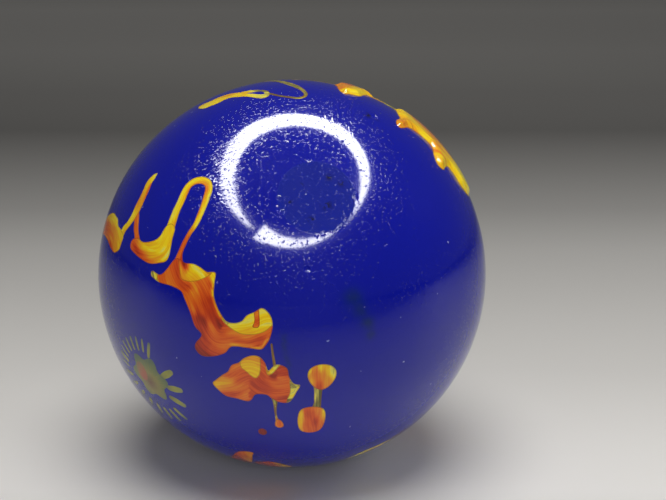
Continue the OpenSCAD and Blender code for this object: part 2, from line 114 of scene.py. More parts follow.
def smooth_loop(points, steps=6):
    p = np.asarray(points, float)
    n = len(p)
    return np.array([bend(p[i - 1], p[i], p[(i + 1) % n], p[(i + 2) % n], s / steps)
                     for i in range(n) for s in range(steps)])


def smooth_line(points, steps=6):
    p = np.asarray(points, float)
    n = len(p)
    out = [bend(p[max(i - 1, 0)], p[i], p[i + 1], p[min(i + 2, n - 1)], s / steps)
           for i in range(n - 1) for s in range(steps)]
    return np.array(out + [p[-1]])


def thread_outline(points, steps=6):
    line = smooth_line(points, steps)
    way = np.gradient(line[:, :2], axis=0)
    way /= np.linalg.norm(way, axis=1)[:, None]
    side = np.stack([way[:, 1], -way[:, 0]], 1)
    half = line[:, 2:3]
    tip = [line[-1, :2] + line[-1, 2] * (math.cos(a) * side[-1] + math.sin(a) * way[-1])
           for a in np.radians((30, 60, 90, 120, 150))]
    root = [line[0, :2] - line[0, 2] * (math.cos(a) * side[0] + math.sin(a) * way[0])
            for a in np.radians((30, 60, 90, 120, 150))]
    return np.vstack([line[:, :2] + side * half, tip, (line[:, :2] - side * half)[::-1], root])


def oval(middle, across, along, count=28):
    turns = np.arange(count) * 2 * math.pi / count
    return np.stack([middle[0] + across / 2 * np.cos(turns),
                     middle[1] + along / 2 * np.sin(turns)], 1)


def far_from(points, loop, closed=True):
    """Distance of each point to the nearest stretch of a line."""
    a = np.asarray(loop, float)[:, :2]
    b = np.roll(a, -1, axis=0) if closed else a[1:]
    a = a if closed else a[:-1]
    best = np.full(len(points), 1e9)
    for p, q in zip(a, b):
        v = q - p
        t = np.clip(((points - p) @ v) / max(v @ v, 1e-12), 0, 1)
        best = np.minimum(best, np.linalg.norm(points - (p + t[:, None] * v), axis=1))
    return best


def along_line(points, spine):
    """(mm to the right of the line, mm along it) for each point."""
    line = smooth_line(spine, 4)[:, :2]
    steps = np.diff(line, axis=0)
    lengths = np.linalg.norm(steps, axis=1)
    run = np.concatenate([[0], np.cumsum(lengths)])
    best = np.full(len(points), 1e9)
    out = np.zeros((len(points), 2))
    for i, v in enumerate(steps):
        t = np.clip(((points - line[i]) @ v) / (v @ v), 0, 1)
        gap = points - (line[i] + t[:, None] * v)
        far = np.linalg.norm(gap, axis=1)
        right = np.sign(gap[:, 0] * v[1] - gap[:, 1] * v[0]) * far
        nearer = far < best
        best[nearer] = far[nearer]
        out[nearer, 0] = right[nearer]
        out[nearer, 1] = (run[i] + t * lengths[i])[nearer]
    return out


def inside(points, loop):
    hit = np.zeros(len(points), bool)
    a, b = loop, np.roll(loop, -1, axis=0)
    for p, q in zip(a, b):
        if p[1] == q[1]:
            continue
        crosses = (points[:, 1] >= min(p[1], q[1])) & (points[:, 1] < max(p[1], q[1]))
        x = p[0] + (points[:, 1] - p[1]) * (q[0] - p[0]) / (q[1] - p[1])
        hit ^= crosses & (points[:, 0] < x)
    return hit


# ------------------------------------------------------------- the hand-worked skin
# Handmade glass isn't perfectly round: a few long swells, some microns high.
SWELLS = [(rng.normal(size=3), rng.uniform(0, 6.28)) for _ in range(26)]
SWELLS = [(unit(k) * rng.uniform(9, 26), phase) for k, phase in SWELLS]
SWELL_HEIGHT = 0.0022

# Chips and pits: (longitude, latitude, radius, depth)
PITS = [
    (52, 60, 0.55, 0.10), (4, 16, 0.35, 0.07), (22, 52, 0.22, 0.05), (-20, 12, 0.20, 0.05),
    (-19, 6, 0.16, 0.05), (27, 21, 0.2, 0.05), (-8, 2, 0.15, 0.04), (38, 12, 0.16, 0.04),
    (14, 3, 0.14, 0.04),
]
CHIP_COUNT = 34


def chips_round_pontil():
    east, north, up = axes_at(PONTIL_PLACE)
    out = []
    for _ in range(CHIP_COUNT):
        turn = random.uniform(0, 2 * math.pi)
        run = PONTIL_R + random.uniform(-0.28, 0.22)
        way = math.cos(turn) * east + math.sin(turn) * north
        d = unit(up * math.cos(run / R) + math.sin(run / R) * way)
        size = random.uniform(0.12, 0.34)
        out.append((d, size, size * random.uniform(0.08, 0.18)))
    return out


HOLLOWS = [(unit(directions((lon, lat), [(0, 0)])[0]), size, deep) for lon, lat, size, deep in PITS]
HOLLOWS += chips_round_pontil()


def swell(dirs):
    """Height of the skin over the true ball, and its slope, for unit directions."""
    high = np.zeros(len(dirs))
    slope = np.zeros((len(dirs), 3))
    for k, phase in SWELLS:
        turn = dirs @ k + phase
        size = SWELL_HEIGHT * 12 / np.linalg.norm(k)
        high += size * np.cos(turn)
        slope -= size * np.sin(turn)[:, None] * k
    return high, slope


def skin_normal(dirs):
    slope = swell(dirs)[1]
    slope -= (slope * dirs).sum(1)[:, None] * dirs
    n = dirs - slope / R
    return n / np.linalg.norm(n, axis=1)[:, None]


def ball_radius(dirs):
    """The ball's skin, with the ground flat and its chips taken off."""
    r = R + swell(dirs)[0] - 0.004
    up = axes_at(PONTIL_PLACE)[2]
    facing = dirs @ up
    flat = np.where(facing > 0.9, PONTIL_RISE / np.maximum(facing, 0.1), 1e9)
    r = np.minimum(r, flat)
    for d, size, deep in HOLLOWS:
        run = np.arccos(np.clip(dirs @ d, -1, 1)) * R
        near = run < size
        r[near] -= deep * (1 - (run[near] / size) ** 2)
    return r


# ------------------------------------------------------------- meshes
def new_object(name, points, faces):
    mesh = bpy.data.meshes.new(name)
    mesh.from_pydata((np.asarray(points) * MM).tolist(), [], faces)
    mesh.update()
    obj = bpy.data.objects.new(name, mesh)
    bpy.context.scene.collection.objects.link(obj)
    return obj


ROW_STEP = 0.87             # rows of a triangular grid, as a part of its cell
DOME_RUN = 0.45             # mm from the edge in which a dome rises
WALL_RUN = 0.6              # mm from the edge in which a lens reaches its full depth
WALL_PART = 0.4             # a lens's depth at the edge, as a part of its full depth


def plate(name, place, outline, depth, over=0.0, cell=0.24, dome=0.0):
    """A closed lens of glass let into the skin: top, sloped wall and floor.

    A dome in mm makes its middle stand up out of the skin."""
    loop = np.asarray(outline, float)
    low, high = loop.min(0), loop.max(0)
    grid = []
    for row in range(int((high[1] - low[1]) / (cell * ROW_STEP)) + 2):
        y = low[1] + row * cell * ROW_STEP
        shift = (row % 2) * cell / 2
        for x in np.arange(low[0] + shift, high[0], cell):
            grid.append((x, y))
    grid = np.array(grid)
    grid = grid[inside(grid, loop)]
    grid = grid[far_from(grid, loop) > cell * 0.45] if len(grid) else grid
    every = np.vstack([loop, grid]) if len(grid) else loop
    found = delaunay_2d_cdt([Vector(p) for p in every.tolist()], [],
                            [list(range(len(loop)))], 1, 1e-5)
    flat = np.array([tuple(p) for p in found[0]])
    faces = [list(f) for f in found[2]]
    turned = []
    for f in faces:
        a, b, c = flat[f[0]], flat[f[1]], flat[f[2]]
        area = (b[0] - a[0]) * (c[1] - a[1]) - (b[1] - a[1]) * (c[0] - a[0])
        turned.append(f if area > 0 else f[::-1])
    faces = turned
    edge = far_from(flat, loop)
    dirs = directions(place, flat)
    rise = dome * (1 - np.exp(-(edge / DOME_RUN) ** 2))
    top = dirs * (R + swell(dirs)[0] + PROUD + over + rise)[:, None]
    sink = depth * (WALL_PART + (1 - WALL_PART) * np.sqrt(np.clip(edge / WALL_RUN, 0, 1)))
    floor = dirs * (R - sink)[:, None]
    n = len(flat)
    used = {}
    for f in faces:
        for i in range(len(f)):
            used[(f[i], f[(i + 1) % len(f)])] = True
    rim = [(a, b) for a, b in used if (b, a) not in used]
    solid = faces + [[i + n for i in f[::-1]] for f in faces]
    solid += [[b, a, a + n, b + n] for a, b in rim]
    return new_object(name, np.vstack([top, floor]), solid)


def combine(obj, tool, how):
    """obj becomes obj minus tool, or what obj and tool share."""
    step = obj.modifiers.new("cut", "BOOLEAN")
    step.operation = how
    step.solver = "MANIFOLD"
    step.object = tool
    now = bpy.context.evaluated_depsgraph_get()
    mesh = bpy.data.meshes.new_from_object(obj.evaluated_get(now), depsgraph=now)
    obj.modifiers.remove(step)
    old = obj.data
    obj.data = mesh
    bpy.data.meshes.remove(old)


WELD = 0.001                # mm under which two points are one


def tidy_mesh(mesh):
    """Joins the points that the cuts left on top of each other, and counts what isn't closed."""
    bm = bmesh.new()
    bm.from_mesh(mesh)
    bmesh.ops.remove_doubles(bm, verts=bm.verts, dist=WELD * MM)
    open_edges = sum(len(e.link_faces) != 2 for e in bm.edges)
    bm.to_mesh(mesh)
    bm.free()
    return open_edges


def points_of(mesh):
    co = np.zeros(len(mesh.vertices) * 3)
    mesh.vertices.foreach_get("co", co)
    return co.reshape(-1, 3)


SKIN_FACING = 0.9965        # cosine under which a face isn't skin but a wall
SKIN_BAND = 0.12            # mm below the round where skin can lie


def polish(obj):
    """Gives the skin its exact curve in shading, and keeps walls and floors flat."""
    mesh = obj.data
    mesh.update()
    co = points_of(mesh)
    far = np.linalg.norm(co, axis=1)
    dirs = co / far[:, None]
    exact = skin_normal(dirs)
    face_n = np.zeros(len(mesh.polygons) * 3)
    mesh.polygons.foreach_get("normal", face_n)
    face_n = face_n.reshape(-1, 3)
    count = np.zeros(len(mesh.polygons), int)
    mesh.polygons.foreach_get("loop_total", count)
    corner = np.zeros(len(mesh.loops), int)
    mesh.loops.foreach_get("vertex_index", corner)
    owner = np.repeat(np.arange(len(mesh.polygons)), count)
    on_skin = (face_n[owner] * exact[corner]).sum(1) > SKIN_FACING
    on_skin &= far[corner] > (R - SKIN_BAND) * MM
    normals = np.where(on_skin[:, None], exact[corner], face_n[owner])
    mesh.polygons.foreach_set("use_smooth", [True] * len(mesh.polygons))
    mesh.normals_split_custom_set(normals.tolist())


def put(mesh, name, values):
    """Stores a number or a vector at each vertex for the materials to read."""
    values = np.asarray(values, float)
    kind = "FLOAT" if values.ndim == 1 else "FLOAT_VECTOR"
    made = mesh.attributes.new(name, kind, "POINT")
    made.data.foreach_set("value" if values.ndim == 1 else "vector", values.ravel().astype(np.float32))


# ------------------------------------------------------------- the pieces' outlines
LEFT = (-60, 22)
TROUGH = (-44, 19)
ARCH = (-33, 29)
TALL = (-22, 5)
CENTRE = (-8, -16)
DROPS = (7, -20)
CROWN = (-60, 72)
CREST = (90, 70)
SHOULDER = (80, 45)
FOOT = (-20, -57)
FOOT_RIGHT = (40, -51)
FRONT_FLOWER = (-47.5, -22)
SIDE_FLOWER = (111, 2)
REAR_FLOWER = (-128, 42)
REAR = (166, 24)
REAR_LOW = (-112, -22)
HOOK = (-152, -8)
UNDER = (112, -46)
UNDER_LEFT = (-160, -52)

LINES = {
    "left_blob": [(-8, -1.5), (-7.5, -0.5), (-6, 0), (-4.25, 0.4), (-3, 0.25), (-2, 0), (-1.5, -0.5),
        (-0.5, -0.75), (0.5, -1.25), (0.5, -2), (0.25, -2.75), (-0.75, -3.25), (-2, -3), (-3.5, -2.5),
        (-5.5, -2.25), (-7.5, -2.25)],
    "left_blob_cap": [(-9, 1), (-4, 1), (-1.5, 0.5), (-0.5, -0.75), (-1, -1), (-2.5, -0.75), (-4, -0.5),
        (-9, -0.75)],
    "left_thread": [(0, -1.5, 0.5), (0.25, -0.6, 0.45), (0.75, 0, 0.4), (1.25, 1, 0.5), (1.4, 2, 0.6),
        (1.45, 3, 0.55), (1.35, 4, 0.55), (1.2, 4.75, 0.5), (1.4, 5.5, 0.35), (1.5, 5.75, 0.2)],
    "left_leg": [(1.75, 1.25, 0.4), (2.1, 0.75, 0.4), (2.5, 0, 0.4), (2.9, -0.5, 0.35), (3.25, -1, 0.45),
        (3.5, -1.6, 0.5)],
    "trough": [(-3, 0), (-3.25, -0.5), (-3, -1), (-2, -1.4), (-0.75, -1.75), (0.5, -1.9), (1.75, -1.6),
        (2.5, -1.25), (2.75, -0.5), (2.65, 1), (2.6, 2), (2, 2.4), (1.4, 2), (1, 1), (0.5, 0.5),
        (-0.5, 0.1), (-1.4, 0), (-2.2, 0.25)],
    "trough_rim": [(-4, 1), (-1.75, 0.6), (-1.4, -0.25), (-1, -0.7), (-0.25, -1.1), (0.5, -1.3), (2, -1.4),
        (2, -2.5), (-1, -2.5), (-4, -2)],
    "arch": [(-1.75, -2.25, 0.55), (-1.6, -1, 0.5), (-1.5, 0, 0.45), (-1.3, 1, 0.45), (-1.2, 2, 0.45),
        (-1, 2.8, 0.4), (-0.5, 3.3, 0.4), (0.25, 3.5, 0.4), (1, 3.3, 0.4), (1.4, 2.75, 0.4), (1.5, 2, 0.4),
        (1.5, 1, 0.35), (1.4, 0, 0.33), (1.2, -1, 0.28), (0.75, -2, 0.25), (0.4, -3, 0.26), (0.15, -4, 0.3),
        (0.1, -5, 0.6)],
    "tall_flake": [(-4.25, 4.25), (-3.5, 4.25), (-3, 4), (-2, 4), (-1.25, 3.75), (-0.5, 3.4), (0.4, 3.4),
        (0.4, 2.5), (0.4, 1.25), (0.75, 0.25), (1.25, -0.6), (1.75, -1.15), (2.5, -1.25), (3.25, -1),
        (3.75, -0.4), (4.5, 0), (5.25, 0.4), (6, -0.25), (6.25, -1.25), (6, -2.5), (5.5, -3.4), (5, -3.75),
        (3.75, -3.65), (2.25, -3.65), (1.5, -4.4), (0.25, -4.9), (-1, -5), (-1.65, -4.4), (-1.6, -3.75),
        (-0.9, -2.8), (-1.6, -2), (-2.1, -0.75), (-2.75, 0.5), (-3.25, 1.25), (-4.5, 1.6), (-6, 1.75),
        (-7.1, 2.25), (-7, 2.75), (-6, 2.5), (-5.25, 3)],
    "tall_crest": [(-3.75, 5), (-3.5, 3), (-3.25, 2.4), (-2.5, 2.25), (-1.5, 2.4), (-0.75, 2.75), (0, 3.25),
        (0, 4), (-1, 5)],
    "tall_toe": [(1.25, -0.9), (1.75, -1.5), (2.5, -2), (3.25, -2.3), (4.5, -2.25), (5.5, -1.9),
        (6.25, -1.25), (7, -1), (6.75, 1), (4, 1), (2, -0.5)],
    "tall_fold": [(4.25, 1), (4.5, -0.75), (4.3, -1.5), (4.9, -1.5), (5, -0.75), (4.75, 1)],
    "tall_heel": [(-1.5, -2.5), (-0.75, -2.75), (-0.25, -3), (0, -3.5), (0.25, -4.25), (0.25, -5.5),
        (-2, -5.5), (-2.25, -3.25)],
    "tall_tail": [(-6.25, 3.5), (-6.25, 2.25), (-6, 1.5), (-8, 1.5), (-8, 3.5)],
    "centre_flake": [(-5.1, -0.5), (-4.75, 0), (-4, 0.75), (-3.4, 1.25), (-3, 2), (-2.25, 2.4),
        (-1.75, 2.9), (-1, 3.25), (-0.25, 3.2), (0.3, 2.6), (0.6, 1.75), (1.1, 2.2), (1.6, 2.4), (2.4, 2),
        (2.6, 1), (3, 0.25), (3.6, 0), (3.25, -0.75), (2.5, -2), (1.5, -2), (0.75, -1.5), (0.25, -1.1),
        (-0.75, -1.15), (-1.25, -1.9), (-1.75, -2.1), (-2.75, -1.9), (-3.75, -1.8), (-4.5, -1.25)],
    "centre_crest": [(-2.25, 3.75), (-2.1, 2), (-1.6, 1.5), (-0.75, 0.8), (-0.25, 1.25), (-0.1, 2.5),
        (-0.25, 3.75), (-1.25, 4)],
    "centre_notch": [(0.5, 1.25), (0.4, 2.25), (1, 3), (2, 2.75), (1.5, 2), (1, 1.4)],
    "centre_tip": [(2.75, 1), (4.25, 0.5), (4, -1), (3.25, -2.5), (2.25, -2.5), (2.25, -1.75),
        (2.6, -0.75)],
    "centre_drip": [(1.1, -1.5, 0.35), (1.1, -2.25, 0.2), (1.05, -3.25, 0.12), (1.1, -4.25, 0.12),
        (1.25, -4.75, 0.35), (1.3, -5.25, 0.45)],
    "centre_thread": [(1, 4.5, 0.1), (1.1, 3.5, 0.12), (1.25, 2.2, 0.15)],
    "drop_stem": [(0.1, 1.5, 0.5), (0.1, 0.75, 0.4), (0.1, 0, 0.37), (0.1, -0.75, 0.37), (0, -1.5, 0.5)],
    "crown_trail": [(-2.75, -3.5), (-1.5, -3.5), (-1, -3), (-0.5, -2.25), (-0.25, -1), (0.9, -0.25),
        (1.75, 0.2), (2.75, 0.5), (3.6, 1), (3.5, 1.75), (2.75, 2.25), (2, 2.4), (1, 2), (0.25, 1.5),
        (-0.5, 0.6), (-1.75, -0.1), (-2.4, -1), (-2.75, -2), (-3.4, -2.9)],
    "crown_slot": [(0.75, 0.7), (1.25, 1.4), (1.75, 1.85), (2.4, 1.9), (2.7, 1.6), (2.25, 1.2), (1.4, 0.9)],
    "crown_loop": [(-3.4, 5, 0.25), (-2, 5.4, 0.4), (-0.4, 5.5, 0.42), (1.25, 5.45, 0.42), (2.9, 5.5, 0.36),
        (4.25, 5.4, 0.26), (5.25, 5.1, 0.2), (5.8, 4.5, 0.2), (5.8, 3.8, 0.22), (5.25, 3.25, 0.2),
        (4.4, 2.6, 0.18), (3, 2.1, 0.2)],
    "ridge_thread": [(1.5, 7.25, 0.12), (2.5, 6, 0.16), (2.6, 4.5, 0.18), (2.4, 3.25, 0.18),
        (1.5, 1.75, 0.2)],
    "crown_flake": [(0, 2.6), (-1.25, 2.5), (-2.5, 2.25), (-3.1, 1.75), (-2.75, 1.25), (-2.4, 0.5), (-2, 0),
        (-0.75, -0.4), (0.75, -1), (1.5, -1.75), (2.25, -0.75), (2.6, 0.75), (2.25, 2), (1, 2.75)],
    "crown_flake_head": [(-2.5, 3.5), (-1.75, 2.25), (-1, 2), (0, 1.6), (1.25, 1.1), (3.5, 0.5), (3.5, 3.5),
        (0, 4)],
    "crown_near": [(0.75, -0.75, 0.3), (0.9, -2, 0.27), (0.9, -3, 0.25), (0.9, -4, 0.28),
        (1.25, -4.75, 0.35)],
    "crown_far": [(1.75, -1, 0.2), (2.25, -2.5, 0.2), (2.4, -3.75, 0.22), (2.25, -5, 0.25)],
    "shoulder_trail": [(3, 5.25), (1.5, 5), (0, 4.6), (-1, 4.25), (-2.5, 4.4), (-3.5, 4.15), (-3.75, 3.6),
        (-3, 3.25), (-2, 2.9), (-1.5, 2), (-1.25, 0.75), (-1.5, -0.25), (-3, -0.9), (-3.9, -1.75),
        (-3.6, -2.6), (-2.5, -2.65), (-1.5, -2.9), (-1.25, -4), (-1.25, -5.25), (-0.25, -6.5), (0.75, -7),
        (1.75, -6), (2.5, -4), (3.25, -1.5), (4, 1.5), (4.25, 4)],
    "shoulder_knob": [(-4.75, 5), (-1.75, 5), (-1.25, 3.75), (-1.75, 2.25), (-4.75, 2.5)],
    "shoulder_tail": [(-2.5, -3), (0.5, -3.25), (4.25, -2.5), (3.5, -8), (-2, -8)],
    "foot_flake": [(-2.5, 0.5), (-1.75, 2), (-0.75, 3.4), (0.25, 3.9), (1, 3.75), (0.75, 3), (0.4, 2),
        (0, 0.75), (-0.75, -1), (-1.75, -1.5), (-2.75, -0.75)],
    "foot_lip": [(0, 0), (1, 0.6), (2, 0.9), (2.75, 0.25), (3.25, -1), (3.5, -2), (2.25, -2.75), (1, -2.25),
        (0, -1.25)],
    "foot_trail": [(-1, -3.5, 0.3), (-0.9, -2.25, 0.6), (-0.75, -1, 0.75), (-0.1, -0.4, 0.75),
        (0.75, 0.1, 0.65), (1.5, 0.75, 0.5), (2.25, 1.5, 0.35), (3, 2.5, 0.2)],
    "rear_flake": [(-4.2, 3.4), (-3, 4.2), (-1.6, 3.6), (-0.2, 3.9), (0.6, 2.8), (0.2, 1.4), (0.9, 0.2),
        (2.2, -0.6), (3.9, -0.4), (4.8, -1.3), (4.1, -2.6), (2.3, -2.9), (0.6, -3.6), (-0.9, -4.4),
        (-1.8, -3.4), (-1.5, -1.8), (-2.4, -0.4), (-3, 1), (-4.9, 1.6), (-5.4, 2.6)],
    "rear_flake_crest": [(-3.4, 4.9), (-3.1, 3), (-2.2, 2.3), (-1, 2.4), (0.4, 2.9), (1.2, 4.6), (-1, 4.8)],
    "rear_wave": [(-4.6, 4.2, 0.25), (-3.9, 2.6, 0.5), (-3.4, 0.6, 0.6), (-3, -1.4, 0.75),
        (-1.8, -2.8, 0.95), (-0.2, -2.4, 0.85), (0.4, -0.8, 0.55), (0.6, 1.2, 0.42), (1.2, 3, 0.38),
        (2.3, 3.5, 0.38), (3, 2.3, 0.35), (3.1, 0.4, 0.28), (3.6, -1.6, 0.3), (4.4, -3.2, 0.22)],
    "rear_hook": [(-2.6, -2.6, 0.3), (-2.4, -0.8, 0.45), (-1.6, 0.9, 0.6), (0, 1.6, 0.7), (1.4, 0.9, 0.5),
        (1.7, -0.5, 0.35), (1.1, -1.6, 0.3)],
    "under_flake": [(-3.4, -0.4), (-2.6, 1), (-1, 1.6), (0.4, 1.2), (1.6, 1.8), (3, 1), (3.4, -0.4),
        (2.2, -1.2), (0.8, -0.8), (-0.6, -1.8), (-2, -1.6)],
    "under_trail": [(-4.4, 1.2, 0.25), (-2.8, 0.4, 0.5), (-1.2, 0.6, 0.65), (0.4, 0, 0.6), (1.8, -1, 0.45),
        (3.4, -0.8, 0.4), (4.6, 0.2, 0.22)],
}
FRONT_RAYS = [(a, 3.8, 5.1, 0.3 if a == 156 else 0.16) for a in range(84, 169, 12)]
FRONT_RAYS += [(72, 3.5, 5.1, 0.22)]
FRONT_RAYS += [(a, 2.9, 4.4, 0.4) for a in (-28, 0, 28)]
FRONT_RAYS += [(a, 3.7, 5.2, 0.26) for a in range(-175, -55, 17)]
CANE_RAYS = [(a, 3.7, 5.0, 0.26) for a in range(0, 360, 20)]

